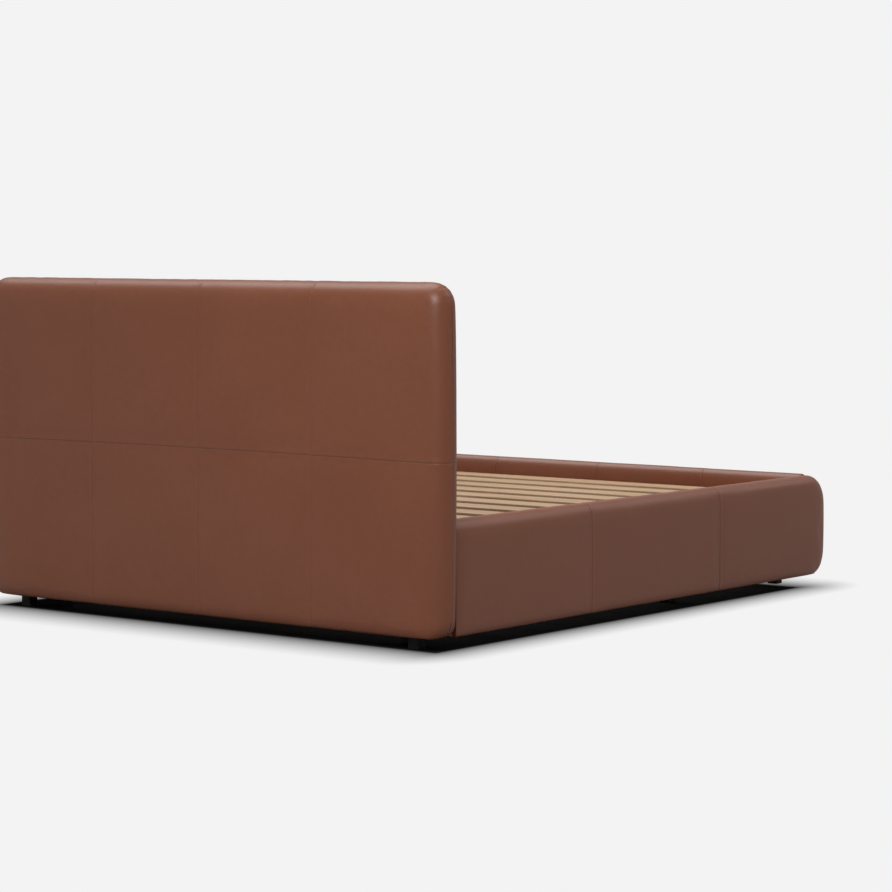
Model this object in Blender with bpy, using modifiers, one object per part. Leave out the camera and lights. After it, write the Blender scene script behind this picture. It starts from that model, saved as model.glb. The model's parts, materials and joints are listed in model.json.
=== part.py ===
"""Leather bed frame: padded headboard, padded side and foot rails, slatted base on legs.

Frame: metres, +Z up, origin on the floor under the middle of the bed. The headboard stands at
+Y and the foot end at -Y. Left and right are as seen from the foot end, so left is -X.
"""
import bpy
import bmesh
from math import radians
from mathutils import Matrix, Vector

# Driving dimensions of the whole bed
BED_WIDTH = 2.020
BED_LENGTH = 2.360
BED_HEIGHT = 1.150
GROUND_GAP = 0.038
CONTACT_GAP = 0.0003

# Headboard
HEADBOARD_THICKNESS = 0.120
HEADBOARD_EDGE_RADIUS = 0.056
HEADBOARD_TOP_CORNER = 0.075
HEADBOARD_BOTTOM_CORNER = 0.065
SEAM_SPACING = 0.488
CROSS_SEAM_HEIGHT = 0.597

# Padded rails
RAIL_TOP = 0.413
RAIL_THICKNESS = 0.080
RAIL_INSET = 0.014
RAIL_EDGE_RADIUS = 0.038
RAIL_TOP_CORNER = 0.105
RAIL_BOTTOM_CORNER = 0.085
RAIL_SEAMS = (0.340, -0.440)
FOOT_RAIL_SETBACK = 0.012

# Upholstery
LEATHER_THICKNESS = 0.002
FOAM_THICKNESS = 0.0185
PILLOW_DEPTH = 0.002
PILLOW_REACH = 0.060
SEAM_DEPTH = 0.0015
SEAM_HALF_WIDTH = 0.010
FOAM_HEM = 0.020
STRIP_END_MARGIN = 0.010
CORNER_STEPS = 6
EDGE_STEPS = 4

# Headboard timber, in from the leather's outer size
PANEL_THICKNESS = 0.006
PANEL_MARGIN = 0.058
PANEL_CORNER = 0.055
POST_WIDTH = 0.060
POST_MARGIN = 0.045
POST_BOTTOM = 0.105
POST_TOP = 1.072
CROSS_RAIL_HEIGHT = 0.070
BOTTOM_RAIL_BOTTOM = 0.078
TOP_RAIL_TOP = 1.110

# Rail boards, ledgers, beam and slats
BOARD_THICKNESS = 0.024
BOARD_BOTTOM = 0.040
BOARD_TOP = 0.372
BOARD_HEAD_MARGIN = 0.015
BOARD_FOOT_MARGIN = 0.041
BOARD_TOP_CORNER = 0.064
BOARD_BOTTOM_CORNER = 0.090
LEDGER_SIZE = 0.060
LEDGER_TOP = 0.325
BEAM_WIDTH = 0.045
BEAM_HEIGHT = 0.070
SLAT_COUNT = 12
SLAT_WIDTH = 0.105
SLAT_THICKNESS = 0.019
SLAT_LENGTH = 1.820
SLAT_END_MARGIN = 0.075

# Steel fittings
STEEL_THICKNESS = 0.0025
HANGER_DEPTH = 0.040
HANGER_WIDTH = 0.090
BRACKET_ARM = 0.048
BRACKET_BOTTOM = 0.120
BRACKET_HEIGHT = 0.090
IRON_BOTTOM = 0.130
IRON_HEIGHT = 0.150
IRON_WIDTH = 0.024
IRON_DEPTH = 0.009
SLOT_WIDTH = 0.006
SLOT_HEIGHT = 0.034
SLOT_RISES = (0.022, 0.096)
HOOK_THICKNESS = 0.004
HOOK_DROP = 0.010
HOOK_NECK_HEIGHT = 0.020

# Feet and legs
LEG_SIZE = 0.040
LEG_EDGE = 0.002
HEADBOARD_FOOT_X = 0.868
HEADBOARD_FOOT_INSET = 0.068
FOOT_BOSS = 0.020
HEAD_LEG_X = 0.772
MID_LEG_Y = -0.346
MID_LEG_TOP = 0.320
CENTRE_LEG_YS = (0.520, -0.040, -0.600)
GLIDE_TRAVEL = 0.012
GLIDE_PAD_RADIUS = 0.019
GLIDE_PAD_HEIGHT = 0.010
GLIDE_STUD_RADIUS = 0.004
GLIDE_STUD_TOP = 0.062
GLIDE_BORE_RADIUS = 0.00407
GLIDE_BORE_TOP = 0.080
TURNED_SIDES = 32

# Places worked out from the driving dimensions
HALF_WIDTH = BED_WIDTH / 2
HEAD_Y = BED_LENGTH / 2
FOOT_Y = -BED_LENGTH / 2
HEADBOARD_FRONT_Y = HEAD_Y - HEADBOARD_THICKNESS
HEADBOARD_MID_Y = HEAD_Y - HEADBOARD_THICKNESS / 2
HEADBOARD_HEIGHT = BED_HEIGHT - GROUND_GAP
FOAM_START = LEATHER_THICKNESS + PILLOW_DEPTH + SEAM_DEPTH + CONTACT_GAP
PAD_DEPTH = FOAM_START + FOAM_THICKNESS
CAVITY_HALF_DEPTH = HEADBOARD_THICKNESS / 2 - PAD_DEPTH - CONTACT_GAP
FRAME_HALF_DEPTH = CAVITY_HALF_DEPTH - PANEL_THICKNESS - CONTACT_GAP
RAIL_HEIGHT = RAIL_TOP - GROUND_GAP
RAIL_INNER_X = HALF_WIDTH - RAIL_INSET - RAIL_THICKNESS
RAIL_MID_X = RAIL_INNER_X + RAIL_THICKNESS / 2
FOOT_RAIL_MID_Y = FOOT_Y + FOOT_RAIL_SETBACK + RAIL_THICKNESS / 2
FOOT_RAIL_INNER_Y = FOOT_RAIL_MID_Y + RAIL_THICKNESS / 2
RAIL_HEAD_Y = HEADBOARD_FRONT_Y - CONTACT_GAP
LEDGER_OUTER_X = RAIL_INNER_X - CONTACT_GAP
LEDGER_INNER_X = LEDGER_OUTER_X - LEDGER_SIZE
LEDGER_BOTTOM = LEDGER_TOP - LEDGER_SIZE
HEAD_LEDGER_Y = RAIL_HEAD_Y - LEDGER_SIZE
FOOT_LEDGER_Y = FOOT_RAIL_INNER_Y + CONTACT_GAP + LEDGER_SIZE
BEAM_BOTTOM = LEDGER_TOP - BEAM_HEIGHT
SLAT_BOTTOM = LEDGER_TOP + CONTACT_GAP
SIDES = {"left": -1, "right": 1}
HEADBOARD_SEAMS = (-SEAM_SPACING, 0.0, SEAM_SPACING)


def clear_scene():
    for obj in list(bpy.data.objects):
        bpy.data.objects.remove(obj, do_unlink=True)


def new_collection(name):
    collection = bpy.data.collections.new(name)
    bpy.context.scene.collection.children.link(collection)
    return collection


def material(name, colour, roughness, metallic=0.0):
    mat = bpy.data.materials.new(name)
    mat.use_nodes = True
    shader = mat.node_tree.nodes["Principled BSDF"]
    shader.inputs["Base Color"].default_value = (*colour, 1.0)
    shader.inputs["Roughness"].default_value = roughness
    shader.inputs["Metallic"].default_value = metallic
    mat.diffuse_color = (*colour, 1.0)
    return mat


clear_scene()
PARTS = new_collection("leather_bed_frame")
CUTTERS = new_collection("cutters")

LEATHER = material("leather", (0.235, 0.083, 0.045), 0.42)
FOAM = material("foam", (0.80, 0.74, 0.58), 0.95)
PLYWOOD = material("plywood", (0.55, 0.38, 0.22), 0.65)
PINE = material("pine", (0.62, 0.44, 0.26), 0.60)
BEECH = material("beech", (0.66, 0.48, 0.30), 0.50)
BLACK_LACQUER = material("black_lacquer", (0.012, 0.012, 0.013), 0.45)
ZINC_STEEL = material("zinc_steel", (0.55, 0.56, 0.57), 0.35, 1.0)
BLACK_PLASTIC = material("black_plastic", (0.020, 0.020, 0.021), 0.60)


def add_object(name, bm, mat, collection=PARTS):
    """Turn a bmesh into an object of its own and free it."""
    mesh = bpy.data.meshes.new(name)
    bm.to_mesh(mesh)
    bm.free()
    mesh.materials.append(mat)
    obj = bpy.data.objects.new(name, mesh)
    collection.objects.link(obj)
    return obj


def box_mesh(low, high):
    """A box between two corners, as a bmesh."""
    low, high = Vector(low), Vector(high)
    bm = bmesh.new()
    bmesh.ops.create_cube(bm, size=1.0)
    bmesh.ops.scale(bm, vec=high - low, verts=bm.verts)
    bmesh.ops.translate(bm, vec=(low + high) / 2, verts=bm.verts)
    return bm


def prism_mesh(outline, x_low, x_high):
    """An outline of (y, z) points drawn out along X, as a bmesh."""
    bm = bmesh.new()
    face = bm.faces.new([bm.verts.new((x_low, y, z)) for y, z in outline])
    drawn = bmesh.ops.extrude_face_region(bm, geom=[face])["geom"]
    far_verts = [item for item in drawn if isinstance(item, bmesh.types.BMVert)]
    bmesh.ops.translate(bm, vec=(x_high - x_low, 0, 0), verts=far_verts)
    bmesh.ops.recalc_face_normals(bm, faces=bm.faces)
    return bm


def add_box(name, low, high, mat, edge=0.0):
    """A box, with its edges eased by a small chamfer where edge is given."""
    obj = add_object(name, box_mesh(low, high), mat)
    if edge:
        bevel = obj.modifiers.new("eased edges", "BEVEL")
        bevel.width = edge
        bevel.segments = 1
    return obj


def boolean(obj, tool, operation):
    """A Boolean with a helper object, which is kept out of the render."""
    tool.hide_render = True
    tool.display_type = "WIRE"
    modifier = obj.modifiers.new(tool.name, "BOOLEAN")
    modifier.operation = operation
    modifier.object = tool
    modifier.solver = "EXACT"


def cut_box(obj, name, low, high):
    boolean(obj, add_object(name, box_mesh(low, high), ZINC_STEEL, CUTTERS), "DIFFERENCE")


def join_box(obj, name, low, high):
    boolean(obj, add_object(name, box_mesh(low, high), ZINC_STEEL, CUTTERS), "UNION")


def on_side(side, low, high):
    """The corners of a box given for the right side (+X), moved to the left if side is -1."""
    xs = sorted((side * low[0], side * high[0]))
    return (xs[0], low[1], low[2]), (xs[1], high[1], high[2])


def slab(length, height, thickness, edge_radius, corner_radii):
    """A slab along X that stands on Z = 0, with round corners and bullnose edges.

    corner_radii maps a corner, (1 or -1 along X, 1 or -1 for top or bottom), to its radius.
    """
    bm = box_mesh((-length / 2, -thickness / 2, 0), (length / 2, thickness / 2, height))
    for (end, level), radius in corner_radii.items():
        corner = Vector((end * length / 2, 0, height * (level + 1) / 2))
        edges = [e for e in bm.edges
                 if all((v.co - corner).to_2d().x ** 2 + (v.co - corner).z ** 2 < 1e-8
                        for v in e.verts)]
        bmesh.ops.bevel(bm, geom=edges, offset=radius, offset_type="OFFSET",
                        segments=CORNER_STEPS, profile=0.5, affect="EDGES")
    rim = [e for e in bm.edges if abs(e.verts[0].co.y - e.verts[1].co.y) < thickness / 2]
    bmesh.ops.bevel(bm, geom=rim, offset=edge_radius, offset_type="OFFSET",
                    segments=EDGE_STEPS, profile=0.5, affect="EDGES")
    bmesh.ops.recalc_face_normals(bm, faces=bm.faces)
    return bm


def slice_at(bm, point, normal, drop_beyond=False):
    """Add a line of points where a plane crosses the surface, or drop what lies beyond it."""
    everything = bm.verts[:] + bm.edges[:] + bm.faces[:]
    bmesh.ops.bisect_plane(bm, geom=everything, plane_co=point, plane_no=normal,
                           clear_outer=drop_beyond)


def add_seam_lines(bm, seams_x, seams_z):
    """Points on each seam, beside it, and where the pillow next to it is at full height."""
    for axis, seams in ((0, seams_x), (2, seams_z)):
        for seam in seams:
            for offset in (0, -SEAM_HALF_WIDTH, SEAM_HALF_WIDTH, -PILLOW_REACH, PILLOW_REACH):
                point, normal = Vector(), Vector()
                point[axis], normal[axis] = seam + offset, 1
                slice_at(bm, point, normal)


def sew(bm, thickness, seams_x, seams_z, faces):
    """Draw the flat faces in along the seams: a low pillow between them, a crease on them."""
    for vert in bm.verts:
        side = 1 if vert.co.y > 0 else -1
        if side not in faces or abs(vert.co.y) < thickness / 2 - 1e-5:
            continue
        nearest = min([abs(vert.co.x - x) for x in seams_x]
                      + [abs(vert.co.z - z) for z in seams_z])
        depth = PILLOW_DEPTH * max(0.0, 1 - nearest / PILLOW_REACH)
        if nearest < SEAM_HALF_WIDTH / 2:
            depth += SEAM_DEPTH
        vert.co.y -= side * depth


def open_staple_strip(bm, start, end, half_width):
    """Leave out the strip underneath, where the leather is stapled to the timber."""
    for side in (-1, 1):
        under = [f for f in bm.faces if f.normal.z < -0.5]
        geom = set(under)
        for face in under:
            geom.update(face.edges)
            geom.update(face.verts)
        bmesh.ops.bisect_plane(bm, geom=list(geom), plane_co=(0, side * half_width, 0),
                               plane_no=(0, 1, 0))
    slice_low(bm, start)
    slice_low(bm, end)
    strip = [f for f in bm.faces if f.normal.z < -0.5
             and abs(f.calc_center_median().y) < half_width
             and start < f.calc_center_median().x < end]
    bmesh.ops.delete(bm, geom=strip, context="FACES")


def slice_low(bm, x):
    """Split only the faces underneath at a place along the slab."""
    under = [f for f in bm.faces if f.normal.z < -0.5]
    geom = set(under)
    for face in under:
        geom.update(face.edges)
        geom.update(face.verts)
    bmesh.ops.bisect_plane(bm, geom=list(geom), plane_co=(x, 0, 0), plane_no=(1, 0, 0))


def add_shell(name, bm, near, far, mat, turn_degrees, place):
    """A shell between two depths under the slab's surface, turned about Z and put in place."""
    bmesh.ops.rotate(bm, cent=(0, 0, 0), matrix=Matrix.Rotation(radians(turn_degrees), 3, "Z"),
                     verts=bm.verts)
    bmesh.ops.translate(bm, vec=place, verts=bm.verts)
    obj = add_object(name, bm, mat)
    solidify = obj.modifiers.new("thickness", "SOLIDIFY")
    solidify.thickness = far - near
    solidify.offset = -1 - 2 * near / (far - near)
    return obj


# Headboard

def headboard_skin():
    corners = {(-1, 1): HEADBOARD_TOP_CORNER, (1, 1): HEADBOARD_TOP_CORNER,
               (-1, -1): HEADBOARD_BOTTOM_CORNER, (1, -1): HEADBOARD_BOTTOM_CORNER}
    return slab(BED_WIDTH, HEADBOARD_HEIGHT, HEADBOARD_THICKNESS, HEADBOARD_EDGE_RADIUS, corners)


def keep_half(bm, face):
    """Keep the half of the slab on one side of its middle, less half a contact gap."""
    slice_at(bm, (0, face * CONTACT_GAP / 2, 0), (0, -face, 0), drop_beyond=True)


def add_headboard_padding():
    place = (0, HEADBOARD_MID_Y, GROUND_GAP)
    cross_seam = (CROSS_SEAM_HEIGHT - GROUND_GAP,)
    strip_end = HALF_WIDTH - HEADBOARD_BOTTOM_CORNER - STRIP_END_MARGIN
    for half, face in (("back", 1), ("front", -1)):
        cover = headboard_skin()
        keep_half(cover, face)
        add_seam_lines(cover, HEADBOARD_SEAMS, cross_seam)
        sew(cover, HEADBOARD_THICKNESS, HEADBOARD_SEAMS, cross_seam, (face,))
        open_staple_strip(cover, -strip_end, strip_end, BOARD_THICKNESS / 2)
        add_shell(f"headboard_{half}_cover", cover, 0, LEATHER_THICKNESS, LEATHER, 0, place)
        foam = headboard_skin()
        keep_half(foam, face)
        slice_at(foam, (0, 0, FOAM_HEM), (0, 0, -1), drop_beyond=True)
        add_shell(f"headboard_{half}_foam", foam, FOAM_START, PAD_DEPTH, FOAM, 0, place)


def add_headboard_timber():
    for half, face in (("back", 1), ("front", -1)):
        depths = sorted((HEADBOARD_MID_Y + face * CAVITY_HALF_DEPTH,
                         HEADBOARD_MID_Y + face * (CAVITY_HALF_DEPTH - PANEL_THICKNESS)))
        panel_x = HALF_WIDTH - PANEL_MARGIN
        bm = box_mesh((-panel_x, depths[0], GROUND_GAP + PANEL_MARGIN),
                      (panel_x, depths[1], BED_HEIGHT - PANEL_MARGIN))
        corners = [e for e in bm.edges
                   if abs(e.verts[0].co.y - e.verts[1].co.y) > PANEL_THICKNESS / 2]
        bmesh.ops.bevel(bm, geom=corners, offset=PANEL_CORNER, offset_type="OFFSET",
                        segments=CORNER_STEPS, profile=0.5, affect="EDGES")
        add_object(f"headboard_{half}_panel", bm, PLYWOOD)
    y_low, y_high = HEADBOARD_MID_Y - FRAME_HALF_DEPTH, HEADBOARD_MID_Y + FRAME_HALF_DEPTH
    post_outer = HALF_WIDTH - POST_MARGIN
    post_inner = post_outer - POST_WIDTH
    for name, side in SIDES.items():
        low, high = on_side(side, (post_inner, y_low, POST_BOTTOM), (post_outer, y_high, POST_TOP))
        add_box(f"headboard_{name}_post", low, high, PINE)
    rail_end = post_inner - CONTACT_GAP
    bottom_rail_top = BOTTOM_RAIL_BOTTOM + CROSS_RAIL_HEIGHT
    top_rail_bottom = TOP_RAIL_TOP - CROSS_RAIL_HEIGHT
    add_box("headboard_bottom_rail", (-rail_end, y_low, BOTTOM_RAIL_BOTTOM),
            (rail_end, y_high, bottom_rail_top), PINE)
    add_box("headboard_top_rail", (-rail_end, y_low, top_rail_bottom),
            (rail_end, y_high, TOP_RAIL_TOP), PINE)
    add_box("headboard_centre_post",
            (-POST_WIDTH / 2, y_low, bottom_rail_top + CONTACT_GAP),
            (POST_WIDTH / 2, y_high, top_rail_bottom - CONTACT_GAP), PINE)


# Padded rails

def add_side_rail(name, side):
    """The slab's own +X end is the foot end, and its +Y face is the bed's +X face."""
    spare = 2 * RAIL_EDGE_RADIUS
    length = RAIL_HEAD_Y - FOOT_Y + spare
    middle_y = FOOT_Y + length / 2
    head_cut = middle_y - RAIL_HEAD_Y
    place = (side * RAIL_MID_X, middle_y, GROUND_GAP)
    seams = [middle_y - y for y in RAIL_SEAMS]
    corners = {(1, 1): RAIL_TOP_CORNER, (1, -1): RAIL_BOTTOM_CORNER}

    cover = slab(length, RAIL_HEIGHT, RAIL_THICKNESS, RAIL_EDGE_RADIUS, corners)
    slice_at(cover, (head_cut, 0, 0), (-1, 0, 0), drop_beyond=True)
    add_seam_lines(cover, seams, ())
    sew(cover, RAIL_THICKNESS, seams, (), (side,))
    open_staple_strip(cover, head_cut - spare,
                      length / 2 - RAIL_BOTTOM_CORNER - STRIP_END_MARGIN,
                      BOARD_THICKNESS / 2 + LEATHER_THICKNESS)
    add_shell(f"{name}_rail_cover", cover, 0, LEATHER_THICKNESS, LEATHER, -90, place)

    foam = slab(length, RAIL_HEIGHT, RAIL_THICKNESS, RAIL_EDGE_RADIUS, corners)
    slice_at(foam, (head_cut, 0, 0), (-1, 0, 0), drop_beyond=True)
    slice_at(foam, (0, 0, FOAM_HEM), (0, 0, -1), drop_beyond=True)
    add_shell(f"{name}_rail_foam", foam, FOAM_START, PAD_DEPTH, FOAM, -90, place)

    low, high = on_side(side, (RAIL_MID_X - BOARD_THICKNESS / 2, FOOT_Y + BOARD_FOOT_MARGIN,
                               BOARD_BOTTOM),
                        (RAIL_MID_X + BOARD_THICKNESS / 2, RAIL_HEAD_Y - BOARD_HEAD_MARGIN,
                         BOARD_TOP))
    board = box_mesh(low, high)
    for level, radius, steps in ((high[2], BOARD_TOP_CORNER, CORNER_STEPS),
                                 (low[2], BOARD_BOTTOM_CORNER, 1)):
        corner = [e for e in board.edges
                  if all(v.co.y < low[1] + 1e-5 and abs(v.co.z - level) < 1e-5 for v in e.verts)]
        bmesh.ops.bevel(board, geom=corner, offset=radius, offset_type="OFFSET",
                        segments=steps, profile=0.5, affect="EDGES")
    add_object(f"{name}_rail_board", board, PLYWOOD)


def add_foot_rail():
    """The slab's +Y face is turned to face the foot end, -Y."""
    spare = 2 * RAIL_EDGE_RADIUS
    rail_end = RAIL_INNER_X - CONTACT_GAP
    length = 2 * (rail_end + spare)
    place = (0, FOOT_RAIL_MID_Y, GROUND_GAP)

    def skin():
        bm = slab(length, RAIL_HEIGHT, RAIL_THICKNESS, RAIL_EDGE_RADIUS, {})
        for end in (-1, 1):
            slice_at(bm, (end * rail_end, 0, 0), (end, 0, 0), drop_beyond=True)
        return bm

    cover = skin()
    add_seam_lines(cover, HEADBOARD_SEAMS, ())
    sew(cover, RAIL_THICKNESS, HEADBOARD_SEAMS, (), (1,))
    open_staple_strip(cover, -length, length, BOARD_THICKNESS / 2 + LEATHER_THICKNESS)
    add_shell("foot_rail_cover", cover, 0, LEATHER_THICKNESS, LEATHER, 180, place)

    foam = skin()
    slice_at(foam, (0, 0, FOAM_HEM), (0, 0, -1), drop_beyond=True)
    add_shell("foot_rail_foam", foam, FOAM_START, PAD_DEPTH, FOAM, 180, place)

    board_end = rail_end - BOARD_HEAD_MARGIN
    add_box("foot_rail_board", (-board_end, FOOT_RAIL_MID_Y - BOARD_THICKNESS / 2, BOARD_BOTTOM),
            (board_end, FOOT_RAIL_MID_Y + BOARD_THICKNESS / 2, BOARD_TOP), PLYWOOD)


# Slatted base

def add_ledgers():
    for name, side in SIDES.items():
        low, high = on_side(side, (LEDGER_INNER_X, FOOT_RAIL_INNER_Y + CONTACT_GAP, LEDGER_BOTTOM),
                            (LEDGER_OUTER_X, RAIL_HEAD_Y, LEDGER_TOP))
        add_box(f"{name}_ledger", low, high, PINE)
    cross_end = LEDGER_INNER_X - CONTACT_GAP
    add_box("head_ledger", (-cross_end, HEAD_LEDGER_Y, LEDGER_BOTTOM),
            (cross_end, RAIL_HEAD_Y, LEDGER_TOP), PINE)
    add_box("foot_ledger", (-cross_end, FOOT_RAIL_INNER_Y + CONTACT_GAP, LEDGER_BOTTOM),
            (cross_end, FOOT_LEDGER_Y, LEDGER_TOP), PINE)


def add_centre_beam():
    """The beam hangs between the head and foot ledgers in two steel stirrups."""
    beam_end = STEEL_THICKNESS + 2 * CONTACT_GAP
    add_box("centre_beam", (-BEAM_WIDTH / 2, FOOT_LEDGER_Y + beam_end, BEAM_BOTTOM),
            (BEAM_WIDTH / 2, HEAD_LEDGER_Y - beam_end, LEDGER_TOP), PINE)
    for name, face_y, inward in (("head", HEAD_LEDGER_Y, -1), ("foot", FOOT_LEDGER_Y, 1)):
        def block(x_low, x_high, near, far, z_low, z_high):
            ys = sorted((face_y + inward * near, face_y + inward * far))
            return (x_low, ys[0], z_low), (x_high, ys[1], z_high)

        back = CONTACT_GAP + STEEL_THICKNESS
        seat = BEAM_BOTTOM - CONTACT_GAP - STEEL_THICKNESS
        cheek = BEAM_WIDTH / 2 + CONTACT_GAP
        rim = LEDGER_TOP - STEEL_THICKNESS
        hanger = add_box(f"{name}_beam_hanger",
                         *block(-HANGER_WIDTH / 2, HANGER_WIDTH / 2, CONTACT_GAP, back, seat, rim),
                         ZINC_STEEL)
        outer = cheek + STEEL_THICKNESS
        overlap = STEEL_THICKNESS / 2
        join_box(hanger, f"{name}_stirrup",
                 *block(-outer, outer, back - overlap, back + HANGER_DEPTH, seat, rim))
        cut_box(hanger, f"{name}_stirrup_hollow",
                *block(-cheek, cheek, back, back + 2 * HANGER_DEPTH, BEAM_BOTTOM - CONTACT_GAP,
                       LEDGER_TOP + HANGER_DEPTH))


def add_slats():
    first = HEADBOARD_FRONT_Y - SLAT_END_MARGIN
    last = FOOT_RAIL_INNER_Y + SLAT_END_MARGIN
    pitch = (last - first) / (SLAT_COUNT - 1)
    for number in range(SLAT_COUNT):
        middle = first + number * pitch
        add_box(f"slat_{number + 1:02d}",
                (-SLAT_LENGTH / 2, middle - SLAT_WIDTH / 2, SLAT_BOTTOM),
                (SLAT_LENGTH / 2, middle + SLAT_WIDTH / 2, SLAT_BOTTOM + SLAT_THICKNESS), BEECH)


# Steel fittings

def add_bed_irons(name, side):
    """A slotted channel on the headboard's face, and a plate with two hooks on the rail board."""
    plate_back = RAIL_HEAD_Y
    plate_front = plate_back - IRON_DEPTH
    x_low, x_high = RAIL_MID_X - IRON_WIDTH / 2, RAIL_MID_X + IRON_WIDTH / 2
    low, high = on_side(side, (x_low, plate_front, IRON_BOTTOM),
                        (x_high, plate_back, IRON_BOTTOM + IRON_HEIGHT))
    plate = add_box(f"{name}_slot_plate", low, high, ZINC_STEEL)
    hollow_front = plate_front + STEEL_THICKNESS
    cut_box(plate, f"{name}_channel_hollow",
            *on_side(side, (x_low + STEEL_THICKNESS, hollow_front, IRON_BOTTOM - IRON_HEIGHT),
                     (x_high - STEEL_THICKNESS, plate_back + IRON_DEPTH,
                      IRON_BOTTOM + 2 * IRON_HEIGHT)))
    for number, rise in enumerate(SLOT_RISES):
        slot_bottom = IRON_BOTTOM + rise
        cut_box(plate, f"{name}_slot_{number}",
                *on_side(side, (RAIL_MID_X - SLOT_WIDTH / 2, plate_front - IRON_DEPTH, slot_bottom),
                         (RAIL_MID_X + SLOT_WIDTH / 2, plate_back - STEEL_THICKNESS,
                          slot_bottom + SLOT_HEIGHT)))

    board_end = RAIL_HEAD_Y - BOARD_HEAD_MARGIN
    hook_front = board_end + CONTACT_GAP
    hook_back = hook_front + STEEL_THICKNESS
    low, high = on_side(side, (x_low + CONTACT_GAP, hook_front, IRON_BOTTOM),
                        (x_high - CONTACT_GAP, hook_back, IRON_BOTTOM + IRON_HEIGHT))
    hooks = add_box(f"{name}_hook_plate", low, high, ZINC_STEEL)
    root = hook_back - STEEL_THICKNESS / 2
    tongue_front = hollow_front + CONTACT_GAP
    tongue_back = plate_back - STEEL_THICKNESS
    hook_middle = side * RAIL_MID_X
    for number, rise in enumerate(SLOT_RISES):
        bottom = IRON_BOTTOM + rise + CONTACT_GAP
        top = bottom + HOOK_NECK_HEIGHT
        outline = ((root, bottom), (tongue_front, bottom), (tongue_front, bottom - HOOK_DROP),
                   (tongue_back, bottom - HOOK_DROP), (tongue_back, top), (root, top))
        hook = prism_mesh(outline, hook_middle - HOOK_THICKNESS / 2,
                          hook_middle + HOOK_THICKNESS / 2)
        boolean(hooks, add_object(f"{name}_hook_{number}", hook, ZINC_STEEL, CUTTERS), "UNION")


def add_corner_bracket(name, side):
    """An angle of steel in the corner between a side rail and the foot rail."""
    x_face, y_face = LEDGER_OUTER_X, FOOT_RAIL_INNER_Y + CONTACT_GAP
    top = BRACKET_BOTTOM + BRACKET_HEIGHT
    low, high = on_side(side, (x_face - BRACKET_ARM, y_face, BRACKET_BOTTOM),
                        (x_face, y_face + BRACKET_ARM, top))
    bracket = add_box(f"{name}_corner_bracket", low, high, ZINC_STEEL)
    cut_box(bracket, f"{name}_bracket_hollow",
            *on_side(side, (x_face - 2 * BRACKET_ARM, y_face + STEEL_THICKNESS,
                            BRACKET_BOTTOM - BRACKET_ARM),
                     (x_face - STEEL_THICKNESS, y_face + 2 * BRACKET_ARM, top + BRACKET_ARM)))


# Feet and legs

def add_headboard_foot(name, side):
    """A block under the leather, with a boss up through the staple strip to the bottom rail."""
    middle_y = HEAD_Y - HEADBOARD_FOOT_INSET
    half = LEG_SIZE / 2
    low, high = on_side(side, (HEADBOARD_FOOT_X - half, middle_y - half, 0),
                        (HEADBOARD_FOOT_X + half, middle_y + half, GROUND_GAP - CONTACT_GAP))
    foot = add_box(f"headboard_{name}_foot", low, high, BLACK_LACQUER, LEG_EDGE)
    join_box(foot, f"headboard_{name}_boss",
             *on_side(side, (HEADBOARD_FOOT_X - FOOT_BOSS / 2, HEADBOARD_MID_Y - FOOT_BOSS / 2,
                             GROUND_GAP / 2),
                      (HEADBOARD_FOOT_X + FOOT_BOSS / 2, HEADBOARD_MID_Y + FOOT_BOSS / 2,
                       BOTTOM_RAIL_BOTTOM - CONTACT_GAP)))


def add_leg(name, side, x_low, y_low, top):
    low, high = on_side(side, (x_low, y_low, 0), (x_low + LEG_SIZE, y_low + LEG_SIZE, top))
    add_box(name, low, high, BLACK_LACQUER, LEG_EDGE)


def add_perimeter_legs():
    """Head and foot legs stand under the cross ledgers, middle legs against the side ledgers."""
    under = LEDGER_BOTTOM - CONTACT_GAP
    leg_x = LEDGER_INNER_X - CONTACT_GAP - LEG_SIZE
    head_y = HEAD_LEDGER_Y + (LEDGER_SIZE - LEG_SIZE) / 2
    for name, side in SIDES.items():
        add_leg(f"head_{name}_leg", side, HEAD_LEG_X - LEG_SIZE / 2, head_y, under)
        add_leg(f"middle_{name}_leg", side, leg_x, MID_LEG_Y - LEG_SIZE / 2, MID_LEG_TOP)
        add_leg(f"foot_{name}_leg", side, leg_x, FOOT_RAIL_INNER_Y + CONTACT_GAP, under)


def add_glide(name, y):
    """A turned levelling glide: a pad on the floor and a stud up into the leg."""
    chamfer = 0.001
    profile = ((GLIDE_STUD_RADIUS, GLIDE_STUD_TOP), (GLIDE_STUD_RADIUS, GLIDE_PAD_HEIGHT),
               (GLIDE_PAD_RADIUS - chamfer, GLIDE_PAD_HEIGHT),
               (GLIDE_PAD_RADIUS, GLIDE_PAD_HEIGHT - chamfer),
               (GLIDE_PAD_RADIUS, chamfer), (GLIDE_PAD_RADIUS - chamfer, 0))
    bm = bmesh.new()
    points = [bm.verts.new((0, 0, GLIDE_STUD_TOP))]
    points += [bm.verts.new((radius, 0, height)) for radius, height in profile]
    points.append(bm.verts.new((0, 0, 0)))
    for start, end in zip(points, points[1:]):
        bm.edges.new((start, end))
    glide = add_object(name, bm, BLACK_PLASTIC)
    glide.location = (0, y, 0)
    screw = glide.modifiers.new("turned", "SCREW")
    screw.steps = TURNED_SIDES
    screw.render_steps = TURNED_SIDES
    screw.use_merge_vertices = True
    screw.merge_threshold = 0.00001


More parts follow.
